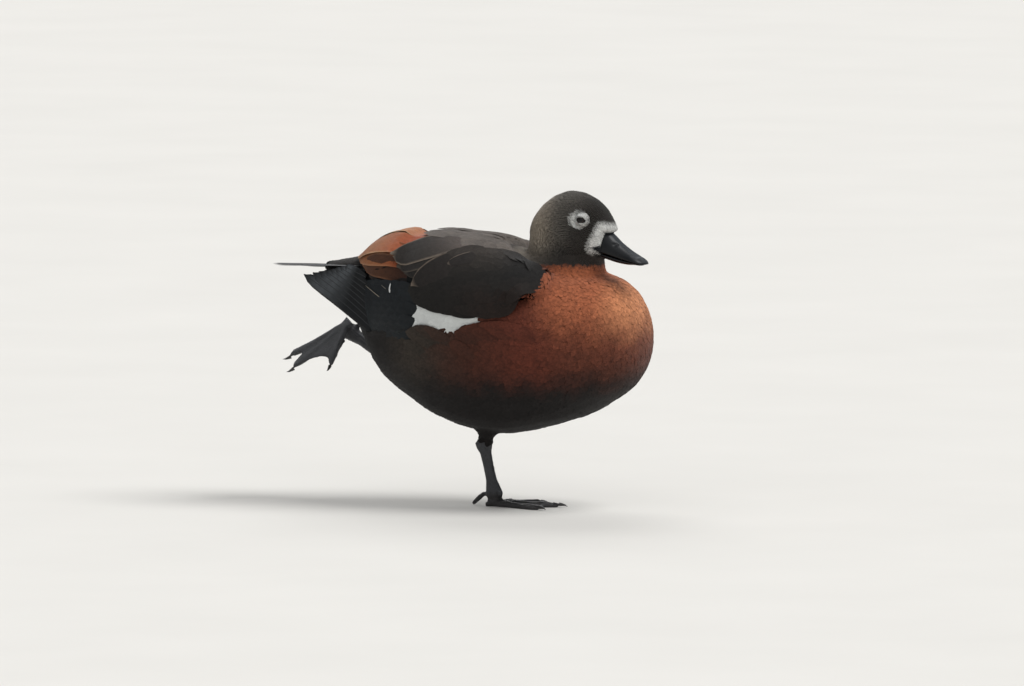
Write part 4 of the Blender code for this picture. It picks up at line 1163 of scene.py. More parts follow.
is_head = (roots[:, 2] > 222.0) & (roots[:, 0] > 18.0)
is_neck = (roots[:, 2] > 198.0) & (roots[:, 0] > 14.0) & ~is_head
is_thigh = (roots[:, 2] < 78.0) | (np.linalg.norm(roots - HOCK, axis=1) < 28.0)
is_breast = (roots[:, 0] > 30.0) & ~(is_head | is_neck | is_thigh)
is_left = roots[:, 1] > 0.0
is_body = ~(is_head | is_neck | is_thigh | is_breast)
SHORT_ROWS, SHORT_HALVES = (0.0, 0.38, 0.72, 1.0), (0.6, 1.0, 0.72, 0.08)
LONG_ROWS, LONG_HALVES = (0.0, 0.3, 0.6, 0.85, 1.0), (0.5, 0.9, 1.0, 0.86, 0.5)
coat("head_feathers", is_head, SHORT_ROWS, SHORT_HALVES, 3, 4.2, 1.7, velvet)
coat("neck_feathers", is_neck, LONG_ROWS, LONG_HALVES, 3, 4.8, 2.3, velvet)
for side, chosen in (("left", is_left), ("right", ~is_left)):
    coat("breast_feathers_" + side, is_breast & chosen, LONG_ROWS, LONG_HALVES, 5, 5.2, 2.7, soft_feathers)
    coat("body_feathers_" + side, is_body & chosen, LONG_ROWS, LONG_HALVES, 5, 5.6, 2.7, soft_feathers)
coat("thigh_feathers", is_thigh, LONG_ROWS, LONG_HALVES, 3, 2.2, 2.0, soft_feathers)


# ---------------------------------------------------------------------------------------------------------
# The large feathers: the shield of scapulars over the shoulder, the tertials, the white wing coverts, the
# dark green-glossed secondaries and the brown flank feathers that lap over the wing. Each is a stiff vane
# round a pale or dark shaft, rooted in front and lying back over the next.

BROAD_ROWS = (0.0, 0.14, 0.3, 0.46, 0.62, 0.76, 0.88, 0.96, 1.0)
BROAD_HALVES = (0.45, 0.72, 0.9, 1.0, 1.0, 0.94, 0.78, 0.52, 0.2)
BODY_RADIUS = 68.0
FINE_ROWS = np.linspace(0.0, 1.0, 23)
FINE_HALVES = np.interp(
    FINE_ROWS, (*BROAD_ROWS[:-2], 0.95, 0.985, 1.0), (*BROAD_HALVES[:-2], 0.55, 0.34, 0.16)
)
WINGS = (("right", -1.0), ("left", 1.0))

scapular_vane = feather_material("scapular_vane", 0.7, 0.12, 0.26, 300.0, 0.06)
tertial_vane = feather_material("tertial_vane", 0.6, 0.12, 0.18, 260.0, 0.05)
white_covert = feather_material("white_covert", 0.7, 0.08, 0.06, 260.0, 0.1)
flight_vane = feather_material("flight_vane", 0.5, 0.12, 0.20, 260.0, 0.02)

# The even surface of the folded wings and back, as distances from a level axis through the body. Places on
# it are given by their length along the body and their turn from the top, in degrees.
AXIS_Z = 165.0
CLOAK_STEP = 3.0
CLOAK_X = np.arange(-136.0, 79.0, CLOAK_STEP)
CLOAK_TURN = np.arange(0.0, 136.0, CLOAK_STEP)
CLOAK_LEAST, CLOAK_MOST = 14.0, 78.0
CLOAK_SINK = 0.4
WING_END = -106.0
WING_END_FALL = 0.95
OUTSIDE_BODY = 130.0


def cloak_radii(hand):
    """The cloak's distances from its axis: those of the skin, smoothed, and carried on behind the wings."""
    radii = np.full((len(CLOAK_X), len(CLOAK_TURN)), CLOAK_LEAST)
    for column, turn in enumerate(np.radians(CLOAK_TURN)):
        way = Vector((0.0, math.sin(turn) * hand, math.cos(turn)))
        for row, x in enumerate(CLOAK_X.tolist()):
            axis = Vector((x, 0.0, AXIS_Z))
            hit = ground.ray_cast(axis + way * OUTSIDE_BODY, -way, OUTSIDE_BODY - 1.0)[0]
            if hit is not None:
                radii[row, column] = min((hit - axis).length, CLOAK_MOST)
    end = int((WING_END - CLOAK_X[0]) / CLOAK_STEP)
    for row in range(end):
        beyond = radii[end] - WING_END_FALL * (WING_END - CLOAK_X[row])
        radii[row] = np.maximum(radii[row], beyond)
    radii[:, 0] = np.maximum(radii[:, 0], radii[:, 1] - 1.0)
    least = radii - CLOAK_SINK
    for _ in range(6):
        wide = np.pad(radii, 1, mode="edge")
        wide[:, 0] = wide[:, 2]
        radii = 0.25 * (wide[:-2, 1:-1] + wide[2:, 1:-1] + wide[1:-1, :-2] + wide[1:-1, 2:])
        radii = np.maximum(radii, least)
    return radii


CLOAK = {hand: cloak_radii(hand) for hand in (1.0, -1.0)}


def cloak_place(hand, x, turn):
    """The places on the cloak at these lengths along the body and degrees from the top."""
    radii = CLOAK[hand]
    row = np.clip((x - CLOAK_X[0]) / CLOAK_STEP, 0.0, len(CLOAK_X) - 1.001)
    column = np.clip(np.abs(turn) / CLOAK_STEP, 0.0, len(CLOAK_TURN) - 1.001)
    i, j = row.astype(int), column.astype(int)
    u, v = row - i, column - j
    radius = (radii[i, j] * (1 - v) + radii[i, j + 1] * v) * (1 - u)
    radius = radius + (radii[i + 1, j] * (1 - v) + radii[i + 1, j + 1] * v) * u
    angle = np.radians(turn)
    return np.stack([x, radius * np.sin(angle) * hand, AXIS_Z + radius * np.cos(angle)], axis=-1)


def turn_at(x, z):
    """How far round the cloak a place at this length and height is, in degrees."""
    heights = cloak_place(-1.0, np.full(len(CLOAK_TURN), x), CLOAK_TURN)[:, 2]
    return float(np.interp(-z, -heights, CLOAK_TURN))


def cloaked(paths, hand, rows):
    """Smooth middle lines through the given places on the cloak, and the outward directions along them."""
    lines, outwards = [], []
    for path in paths:
        path = np.array(path, float)
        spots = cloak_place(hand, path[:, 0], path[:, 1])
        reach = np.concatenate([[0.0], np.cumsum(np.linalg.norm(np.diff(spots, axis=0), axis=1))])
        fits = [np.polyfit(reach / reach[-1], path[:, axis], len(path) - 1) for axis in (0, 1)]
        x, turn = (np.polyval(fit, np.array(rows)) for fit in fits)
        lines.append(cloak_place(hand, x, turn))
        along = cloak_place(hand, x + 5.0, turn) - cloak_place(hand, x - 5.0, turn)
        around = cloak_place(hand, x, turn + 5.0) - cloak_place(hand, x, turn - 5.0)
        outwards.append(unit(np.cross(along, around) * hand))
    return np.stack(lines), np.stack(outwards)


def broad_tint(base, tip, rim, rows, across, rim_from, tip_from, fade, upper):
    """The colours over each large feather: its base, its tip and the fringe along its edge or upper edge."""
    along = ease(np.array(rows), fade[0], fade[1])[None, :, None, None]
    share = np.linspace(-1, 1, across)[None, :]
    share = share * upper if upper else np.abs(share)
    along_rim = ease(share, rim_from, 1.0) * ease(np.array(rows), 0.3, 0.7)[:, None]
    edge = np.maximum(along_rim, ease(np.array(rows), tip_from, 0.99)[:, None])
    body = base[:, None, None, :] * (1 - along) + tip[:, None, None, :] * along
    return body * (1 - edge[None, :, :, None]) + rim[:, None, None, :] * edge[None, :, :, None]


def broad(name, line, outward, widths, stand, base, tip, rim, surface, camber=0.03, softness=0.5,
          rows=BROAD_ROWS, halves=BROAD_HALVES, across=7, rim_from=0.72, tip_from=0.86, jitter=0.07,
          fade=(0.15, 0.8), root_rise=0.25, upper=0.0):
    """Lays large feathers along these lines. Each stands this high off the cloak but for its sunken root,
    and is bent across to the curve of the body. The rim starts at these shares of its half-width and length,
    and upper, a hand or 0, keeps it to the upper edge on that side."""
    count = len(line)
    rise = stand[:, None] * (root_rise + (1.0 - root_rise) * ease(np.array(rows), 0.0, 0.7))[None, :]
    bend = (camber + widths / 4.0 / BODY_RADIUS)[:, None, None]
    shape, vane = shaped(line, outward, widths, rise, rows, halves, across, bend, 0.03, 0.004)
    tone = broad_tint(base, tip, rim, rows, across, rim_from, tip_from, fade, upper)
    tone = tone * RANDOM.normal(1.0, jitter, (count, 1, 1, 1))
    here = line[:, 0]
    flat, _ = unwrapped(here, chart_of(here, here[:, 2] < -1.0))
    mesh_of_vanes(name, shape, tone, vane, flat, surface, outward, softness)


def same(colour, count):
    """One colour for each of this many feathers."""
    return np.tile(colour, (count, 1))


# White lesser and median coverts, which show below the shield.
COVERT_HALVES = (0.5, 0.9, 1.0, 0.85, 0.35)
WHITE_ROWS, WHITE_COLUMNS = 5, 10
for side, hand in WINGS:
    paths, stand = [], []
    for row in range(WHITE_ROWS):
        for column in range(WHITE_COLUMNS):
            x = 12.0 - 6.6 * column + 3.3 * (row % 2) + RANDOM.normal(0, 0.5)
            z = 157.0 + 4.2 * row + RANDOM.normal(0, 0.4)
            z = min(z, shield_edge(x - 14.0) - 3.0, shield_edge(x) - 3.0)
            paths.append(((x, turn_at(x, z + 1.0)), (x - 16.0, turn_at(x - 16.0, z - 0.5))))
            stand.append(1.9 - 0.18 * row + RANDOM.normal(0, 0.05))
    line, outward = cloaked(paths, hand, LONG_ROWS)
    count = len(line)
    white = same(hue("#cfd2d0"), count)
    broad("white_coverts_" + side, line, outward, np.full(count, 11.0), np.array(stand), white * 0.85, white,
          white, white_covert, rows=LONG_ROWS, halves=COVERT_HALVES, across=5,
          jitter=0.03)

# Secondaries: long, dark, glossed with green, the lowest under the next above it.
SECONDARY_COUNT = 13
for side, hand in WINGS:
    paths = []
    for number in range(SECONDARY_COUNT):
        share = number / (SECONDARY_COUNT - 1)
        tip_x, tip_turn = -103.0 - 8.0 * share, 104.0 - 50.0 * share
        root_x, root_turn = -42.0 - 8.0 * share, 106.0 - 34.0 * share
        middle = (0.5 * (tip_x + root_x), 0.5 * (tip_turn + root_turn) + 2.0)
        paths.append(((root_x, root_turn), middle, (tip_x, tip_turn)))
    line, outward = cloaked(paths, hand, BROAD_ROWS)
    count = len(line)
    dark, tips, rims = (same(hue(code), count) for code in ("#12171a", "#101519", "#161c20"))
    stand = 1.2 + 0.07 * np.arange(count)
    broad("secondaries_" + side, line, outward, np.full(count, 14.0), stand, dark, tips, rims,
          flight_vane, softness=0.7)

# Greater coverts: dark, rounded feathers that lap over the roots of the secondaries.
DARK_ROWS, DARK_COLUMNS = 8, 4
for side, hand in WINGS:
    paths, stand = [], []
    for row in range(DARK_ROWS):
        for column in range(DARK_COLUMNS):
            x, z = -46.0 - 9.0 * column - 3.0 * (row % 2), 151.0 + 5.6 * row
            far = turn_at(x - 22.0, z + 3.5)
            paths.append(((x, turn_at(x, z - 3.0)), (x - 11.0, turn_at(x - 11.0, z)), (x - 22.0, far)))
            stand.append(2.7 - 0.16 * column + RANDOM.normal(0, 0.05))
    line, outward = cloaked(paths, hand, LONG_ROWS)
    count = len(line)
    dark, tips, rims = (same(hue(code), count) for code in ("#12171a", "#101519", "#151a1e"))
    broad("dark_coverts_" + side, line, outward, np.full(count, 12.0), np.array(stand), dark, tips, rims,
          flight_vane, rows=LONG_ROWS, halves=COVERT_HALVES, across=5, softness=0.8)

# The long pale shafts and the white edge that show against the dark secondaries: their paths on the cloak,
# their widths and their colours. The paleness of the two shafts is partly a painted sheen along them.
SHAFT_LINES = (
    (((-77.5, 80.0), (-92.0, 68.0), (-104.0, 56.0)), 0.55, "#8d8577"),
    (((-80.0, 67.0), (-86.5, 60.5)), 0.5, "#77736b"),
    (((-75.5, 73.0), (-77.8, 68.0), (-77.2, 61.0)), 1.5, "#d8dad8"),
)
for side, hand in WINGS:
    for number, (path, width, code) in enumerate(SHAFT_LINES):
        line, outward = cloaked([path], hand, BROAD_ROWS)
        one = same(hue(code), 1)
        broad(f"pale_shaft_{side}_{number + 1}", line, outward, np.full(1, width), np.full(1, 3.3), one, one,
              one, white_covert, camber=0.3, across=3, jitter=0.0)

# Flank feathers that lap up over the lower edge of the wing in two soft lobes. Each lobe has its rear and
# front ends, the heights of its foot and crest, and its count of feathers.
FLANK_LOBES = ((-58.0, -34.0, 146.0, 160.0, 8), (-14.0, 44.0, 147.0, 164.5, 14))
for side, hand in WINGS:
    paths = []
    for rear, front, bottom, top, count in FLANK_LOBES:
        for number in range(count):
            share = number / (count - 1)
            x = front + (rear - front) * share
            crest = math.sin(math.pi * min(1.0, 0.16 + 0.84 * share)) ** 0.35
            z = bottom + (top - bottom) * crest
            paths.append(((x + 15.0, turn_at(x + 15.0, z - 14.0)), (x + 3.0, turn_at(x + 3.0, z - 5.0)),
                          (x - 6.0, turn_at(x - 6.0, z - 1.0))))
    line, outward = cloaked(paths, hand, BROAD_ROWS)
    count = len(line)
    stand = 3.4 + 0.5 * RANDOM.random(count)
    here = plumage(line[:, 4] - np.array((0.0, 0.0, 6.0)))
    broad("flank_lobes_" + side, line, outward, np.full(count, 11.0), stand, here * 0.9, here, here * 1.1,
          soft_feathers, camber=0.08, softness=0.8, root_rise=0.75)

# The scapular shield: strings of overlapping feathers that run back from the shoulder between the upper and
# the lower edge of the shield, short in front and long and blunt at the rear.
SHIELD_TOP = ((-58.0, 67.0), (-46.0, 60.0), (-36.0, 52.0), (-19.0, 45.0), (0.0, 41.0), (25.0, 38.0),
              (40.0, 42.0), (50.0, 47.0), (62.0, 53.0))
SHIELD_STRINGS = 13
SHIELD_FRONT = 63.0
OVERLAP = 0.3


def shield_turn(x, share):
    """The turn at this length and this share of the way from the shield's upper to its lower edge."""
    top = float(np.interp(x, [spot for spot, _ in SHIELD_TOP], [turn for _, turn in SHIELD_TOP]))
    low = turn_at(x, float(shield_edge(x)) + 3.5)
    return top + (low - top) * share


for side, hand in WINGS:
    paths, widths, stand = [], [], []
    for string in range(SHIELD_STRINGS):
        share = string / (SHIELD_STRINGS - 1)
        tip = -50.0 - 7.0 * float(ease(share, 0.0, 0.3)) + 3.0 * float(ease(share, 0.6, 1.0))
        tip += 3.0 * (string % 2)
        while tip < 50.0:
            reach = 17.0 + 17.0 * float(ease(-tip, -30.0, 35.0))
            root = min(tip + reach, SHIELD_FRONT)
            middle = 0.5 * (tip + root)
            span = (shield_turn(middle, 1.0) - shield_turn(middle, 0.0)) * math.radians(72.0)
            gap = span / (SHIELD_STRINGS - 1)
            stride = 1 if gap > 4.2 else 2 if gap > 2.1 else 4
            if string % stride == 0 or share == 1.0:
                yaw = RANDOM.normal(0, 0.6)
                paths.append(((root, shield_turn(root, share)),
                              (middle, shield_turn(middle, share) + 0.4 * yaw),
                              (tip, shield_turn(tip, share) + yaw)))
                widths.append(max(gap * stride * 2.0, 9.0) * RANDOM.uniform(0.95, 1.08))
                stand.append(3.2 + RANDOM.normal(0, 0.06))
            tip += reach * OVERLAP * RANDOM.uniform(0.93, 1.07)
    line, outward = cloaked(paths, hand, BROAD_ROWS)
    low_front = ease(line[:, 0, 0], 0.0, 50.0) * ease(-line[:, 0, 2], -205.0, -185.0)
    base = mixed(hue("#191715"), hue("#332d28"), ease(line[:, 5, 2], 200.0, 230.0))
    base = mixed(base, hue("#2b1a14"), low_front * 0.5)
    dark_top = 0.8 * ease(line[:, 4, 0], 14.0, 40.0) * ease(line[:, 4, 2], 194.0, 204.0)
    base = mixed(base, hue("#0c0b0b"), dark_top)
    broad("scapulars_shield_" + side, line, outward, np.array(widths), np.array(stand), base * 0.94, base,
          base * 1.14, scapular_vane, softness=0.85)

# The back between the shields: long, grey-brown feathers in strings that run straight back.
# Each string has its turn from the top and the length along the body where its first feather is rooted.
BACK_STRINGS = ((2.0, 16.0), (9.0, 18.0), (16.0, 22.0), (23.0, 26.0), (30.0, 31.0))
for side, hand in WINGS:
    paths, widths, stand = [], [], []
    for string, (turn, front) in enumerate(BACK_STRINGS):
        tip = -63.0 + 2.5 * turn / 9.0 + 4.0 * (string % 2)
        while tip < front - 8.0:
            reach = 20.0 + 12.0 * float(ease(-tip, -10.0, 40.0))
            root = min(tip + reach, front)
            stray = RANDOM.normal(0, 0.6)
            paths.append(((root, turn), (0.5 * (root + tip), turn + 0.6), (tip, turn + stray)))
            widths.append(15.0 * RANDOM.uniform(0.95, 1.08))
            over_tertials = float(ease(-tip, 36.0, 54.0)) if turn < 25.0 else 0.0
            stand.append(1.7 + 1.7 * over_tertials + 0.1 * (string % 2) + RANDOM.normal(0, 0.05))
            tip += reach * OVERLAP * RANDOM.uniform(0.93, 1.07)
    line, outward = cloaked(paths, hand, BROAD_ROWS)
    count = len(line)
    base = mixed(hue("#544c45"), hue("#3b342f"), RANDOM.random(count) * 0.5)
    broad("back_feathers_" + side, line, outward, np.array(widths), np.array(stand), base * 0.9, base,
          base * 1.25, scapular_vane, softness=0.8)

# The long rear scapulars: a lobe of three above the shield, the topmost with a pale, worn fringe. Each has
# its path on the cloak, its width, how high it stands and how worn it is.
LONG_SCAPULARS = (
    (((2.0, 40.0), (-20.0, 43.0), (-40.0, 50.0), (-63.0, 55.0)), 22.0, 1.7, 0.1),
    (((6.0, 34.0), (-20.0, 36.0), (-42.0, 43.0), (-71.0, 49.0)), 26.0, 2.2, 0.3),
    (((8.0, 28.0), (-20.0, 30.0), (-44.0, 36.5), (-78.0, 41.0)), 31.0, 2.8, 1.0),
)
# The shield's own upper edge: two long feathers, fringed with grey-brown along the top only. Each has its
# path, its width and how high it stands.
SHIELD_RIMS = (
    (((28.0, 43.0), (12.0, 43.0), (-4.0, 46.0), (-24.0, 52.0)), 12.0, 3.5),
    (((22.0, 44.0), (-10.0, 47.0), (-32.0, 55.0), (-53.0, 65.0)), 24.0, 3.7),
)
for side, hand in WINGS:
    paths, *sizes = zip(*LONG_SCAPULARS)
    line, outward = cloaked(paths, hand, FINE_ROWS)
    widths, stand, worn = np.array(sizes)
    base = mixed(hue("#2b2521"), hue("#453a33"), worn)
    tip = mixed(hue("#1d1a18"), hue("#292522"), worn)
    rim = mixed(hue("#2a2623"), hue("#74685b"), worn)
    broad("long_scapulars_" + side, line, outward, widths, stand, base, tip, rim, scapular_vane,
          rows=FINE_ROWS, halves=FINE_HALVES, rim_from=0.86, tip_from=0.96, across=13,
          softness=0.75)
    paths, *sizes = zip(*SHIELD_RIMS)
    line, outward = cloaked(paths, hand, FINE_ROWS)
    widths, stand = np.array(sizes)
    base, tip, rim = (same(hue(code), len(line)) for code in ("#292420", "#201c1a", "#6b5f54"))
    broad("shield_rims_" + side, line, outward, widths, stand, base, tip, rim, scapular_vane,
          rows=FINE_ROWS, halves=FINE_HALVES, rim_from=0.84, tip_from=0.98, across=13,
          softness=0.8, upper=hand)

# Tertials: broad, orange-brown feathers with pale edges, dark towards the wing below. The darkening down the
# stack is partly painted shade and the palest rims at the top are partly a painted highlight. Each has its
# path on the cloak, its width and how high it stands, and its colours at the base, the tip and the rim.
TERTIALS = (
    (((-50.0, 58.0), (-76.0, 58.0), (-92.0, 54.0), (-101.0, 50.0)), 18.0, 0.5),
    (((-48.0, 50.0), (-78.0, 50.0), (-97.0, 45.0), (-108.0, 40.0)), 22.0, 0.95),
    (((-44.0, 41.0), (-78.0, 40.0), (-102.0, 34.0), (-114.0, 29.0)), 26.0, 1.4),
    (((-42.0, 30.0), (-78.0, 29.0), (-104.0, 23.0), (-118.0, 18.0)), 30.0, 1.9),
    (((-42.0, 18.0), (-78.0, 17.0), (-102.0, 13.0), (-117.0, 10.0)), 28.0, 2.3),
    (((-42.0, 7.0), (-76.0, 7.0), (-96.0, 5.0), (-111.0, 4.0)), 25.0, 2.6),
)
# From the lowest tertial up: partly painted shade on the lower ones and a painted highlight on the top rims.
TERTIAL_COLOURS = (
    ("#150e0b", "#2c160e", "#6a250a", "#8a360c", "#96441d", "#985028"),
    ("#1b1310", "#4c2e1d", "#8a5734", "#8c5a36", "#9a6a44", "#a87c56"),
    ("#2a1c15", "#6e4a34", "#93694a", "#a07a56", "#b0906a", "#c8b68c"),
)
for side, hand in WINGS:
    paths, *sizes = zip(*TERTIALS)
    line, outward = cloaked(paths, hand, FINE_ROWS)
    widths, stand = np.array(sizes)
    base, tip, rim = (np.array([hue(code) for code in codes]) for codes in TERTIAL_COLOURS)
    broad("tertials_large_" + side, line, outward, widths, stand, base, tip, rim, tertial_vane,
          rows=FINE_ROWS, halves=FINE_HALVES, rim_from=0.84, tip_from=0.93, across=13,
          softness=0.85)


# ---------------------------------------------------------------------------------------------------------
# The flight feathers of the hand and tail. Primaries fan up and back from the rear of the folded wing, the
# longest lowest; the tail is a level fan of fourteen blunt feathers, the middle pair on top.

# The lowest and the topmost primary: their bases and tips, as lengths along the body and heights. Their
# places across it go from the first to the second as they run back.
PRIMARY_BASE = ((-94.0, 149.5), (-106.0, 198.0))
PRIMARY_TIPS = ((-164.5, 196.5), (-126.0, 206.0))
PRIMARY_Y = (41.0, 26.0)
PRIMARY_COUNT = 8
PRIMARY_BOW = 2.2
LEFT_SHORTER = 10.0
# The quill's paler shaft is partly a painted sheen along it.
quill_vane = feather_material("quill_vane", 0.42, 0.16, 0.22, 200.0, 0.02, ("#2e3032", 0.35))
QUILL_HALVES = (0.5, 0.8, 0.95, 1.0, 1.0, 0.96, 0.84, 0.6, 0.24)
for side, hand, shorter in (("right", -1.0, 0.0), ("left", 1.0, LEFT_SHORTER)):
    lines = []
    for number in range(PRIMARY_COUNT):
        share = number / (PRIMARY_COUNT - 1)
        base = np.array(PRIMARY_BASE[0]) * (1 - share) + np.array(PRIMARY_BASE[1]) * share
        tip = np.array(PRIMARY_TIPS[0]) * (1 - share**0.8) + np.array(PRIMARY_TIPS[1]) * share**0.8
        reach = np.linalg.norm(tip - base)
        tip = tip - (tip - base) / reach * shorter * (1 - share)
        bow = np.array((tip[1] - base[1], base[0] - tip[0])) / reach
        line = []
        for along in BROAD_ROWS:
            spot = base + (tip - base) * along + bow * PRIMARY_BOW * math.sin(math.pi * along) * (1 - share)
            y = float(np.interp(-spot[0], (100.0, 165.0), PRIMARY_Y)) - 3.0 * share + 0.32 * number
            line.append((spot[0], y * hand, spot[1]))
        lines.append(line)
    line = np.array(lines)
    outward = np.zeros_like(line) + unit(np.array((-0.22, hand, 0.05)))
    count = len(line)
    # The pale grey that the tips fade to is a painted reflection of the sky on black feathers.
    dark, pale, rims = (same(hue(code), count) for code in ("#0d1013", "#585c60", "#2a2d30"))
    name = "primaries_" + side + "_quills"
    broad(name, line, outward, np.linspace(13.0, 9.0, count), np.full(count, 0.3), dark, pale, rims,
          quill_vane, halves=QUILL_HALVES, camber=0.0, tip_from=0.8, rim_from=0.97,
          softness=0.0, fade=(0.45, 0.95), jitter=0.04)
    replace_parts(bpy.data.objects[name], "primaries_" + side)

# The tail fans out from a hub ahead of its root, and is rolled a little to one side.
TAIL_ROOT = np.array((-108.0, 0.0, 205.0))
TAIL_REACH = 90.0
TAIL_HALF_SPREAD = math.radians(17.0)
TAIL_HUB = 58.0
TAIL_ROLL = math.radians(5.2)
RECTRIX_COUNT = 14
BLUNT_HALVES = (0.5, 0.8, 0.95, 1.0, 1.0, 1.0, 0.97, 0.84, 0.46)
lines, stand = [], []
for number in range(RECTRIX_COUNT):
    share = 2.0 * number / (RECTRIX_COUNT - 1) - 1.0
    angle = TAIL_HALF_SPREAD * share
    reach = TAIL_REACH - 9.0 * abs(share) ** 2
    line = []
    for along in BROAD_ROWS:
        out_x = -(TAIL_HUB + reach * along) * math.cos(angle) + TAIL_HUB
        out_y = (TAIL_HUB + reach * along) * math.sin(angle)
        drop = -0.014 * reach * along - 0.9 * abs(share) ** 1.5 * (0.5 + along)
        height = TAIL_ROOT[2] + drop - out_y * math.sin(TAIL_ROLL)
        line.append((TAIL_ROOT[0] + out_x, out_y * math.cos(TAIL_ROLL), height))
    lines.append(line)
    stand.append(1.4 - 0.16 * abs(number - (RECTRIX_COUNT - 1) / 2))
line = np.array(lines)
outward = np.zeros_like(line) + unit(np.array((0.0, math.sin(TAIL_ROLL), math.cos(TAIL_ROLL))))
dark, mid, pale = (same(hue(code), RECTRIX_COUNT) for code in ("#0b0c0d", "#0c0d0e", "#101112"))
broad("tail_feathers", line, outward, np.full(RECTRIX_COUNT, 14.0), np.array(stand), dark, mid, pale,
      flight_vane, halves=BLUNT_HALVES, camber=0.0, softness=0.3)
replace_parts(bpy.data.objects["tail_feathers"], "tail")


# ---------------------------------------------------------------------------------------------------------
# The bill: two horny sheaths of slate grey over bone, the upper with a nail at its tip and a hollow at each
# nostril. It is smooth, a little glossy and worn paler along its edges, with a painted highlight along its
# ridge. Each station of a sheath has its place ahead, the heights of its top and bottom and its half-width,
# in the head's own frame.

UPPER_BILL = (
    (28.0, -2.0, -22.6, 10.0),
    (36.0, -5.0, -24.3, 10.4),
    (45.0, -13.0, -26.4, 9.8),
    (54.0, -19.6, -28.4, 9.5),
    (61.0, -24.0, -29.6, 10.2),
    (66.0, -26.9, -30.7, 9.4),
    (69.3, -29.2, -31.9, 6.0),
    (70.8, -31.4, -31.4, 0.0),
)
LOWER_BILL = (
    (27.0, -22.4, -26.5, 7.6),
    (37.0, -24.9, -29.2, 8.8),
    (45.0, -27.0, -31.2, 8.4),
    (54.0, -29.0, -32.4, 8.2),
    (61.0, -30.2, -32.4, 7.8),
    (66.0, -31.3, -32.8, 5.6),
    (68.0, -32.2, -32.2, 0.0),
)
BILL_RINGS, BILL_SIDES = 88, 72
BILL_POWER = 2.4
NOSTRIL = (43.9, -15.2, 2.5, 1.5)
NOSTRIL_DEPTH, NOSTRIL_LIP = 1.25, 0.16
NAIL_RISE = 0.35

horn, tree, shader = material("slate_bill_horn", {"Roughness": 0.42, "IOR": 1.5})
shader.inputs["Coat Weight"].default_value = 0.06
shader.inputs["Specular IOR Level"].default_value = 0.28
shader.inputs["Coat Roughness"].default_value = 0.25
where = add(tree, "ShaderNodeTexCoord")
cloud = add(tree, "ShaderNodeTexNoise", {"Scale": 260.0, "Detail": 6.0}, {"Vector": where.outputs["Object"]})
patchy = add(
    tree,
    "ShaderNodeMapRange",
    {"From Min": 0.3, "From Max": 0.7, "To Min": 0.8, "To Max": 1.2},
    {"Value": cloud.outputs["Fac"]},
)
tinted(tree, shader, patchy.outputs["Result"])
worn = add(tree, "ShaderNodeMapRange", {"To Min": 0.34, "To Max": 0.52}, {"Value": cloud.outputs["Fac"]})
tree.links.new(worn.outputs["Result"], shader.inputs["Roughness"])
fine = {"Scale": 1600.0, "Detail": 3.0}
pores = add(tree, "ShaderNodeTexNoise", fine, {"Vector": where.outputs["Object"]})
bump = add(tree, "ShaderNodeBump", {"Strength": 0.18, "Distance": 0.0002}, {"Height": pores.outputs["Fac"]})
tree.links.new(bump.outputs["Normal"], shader.inputs["Normal"])


def smooth_rows(stations, count):
    """The stations of a loft, filled in with a smooth curve."""
    stations = np.array(stations)
    slopes = np.gradient(stations, axis=0)
    at = (1.0 - (1.0 - np.linspace(0.0, 1.0, count)) ** 1.35) * (len(stations) - 1)
    first = np.minimum(at.astype(int), len(stations) - 2)
    part = (at - first)[:, None]
    a, b = stations[first], stations[first + 1]
    m, n = slopes[first], slopes[first + 1]
    line = (2 * part**3 - 3 * part**2 + 1) * a + (part**3 - 2 * part**2 + part) * m
    line += (-2 * part**3 + 3 * part**2) * b + (part**3 - part**2) * n
    line[:, 3] = np.maximum(line[:, 3], 0.0)
    return line


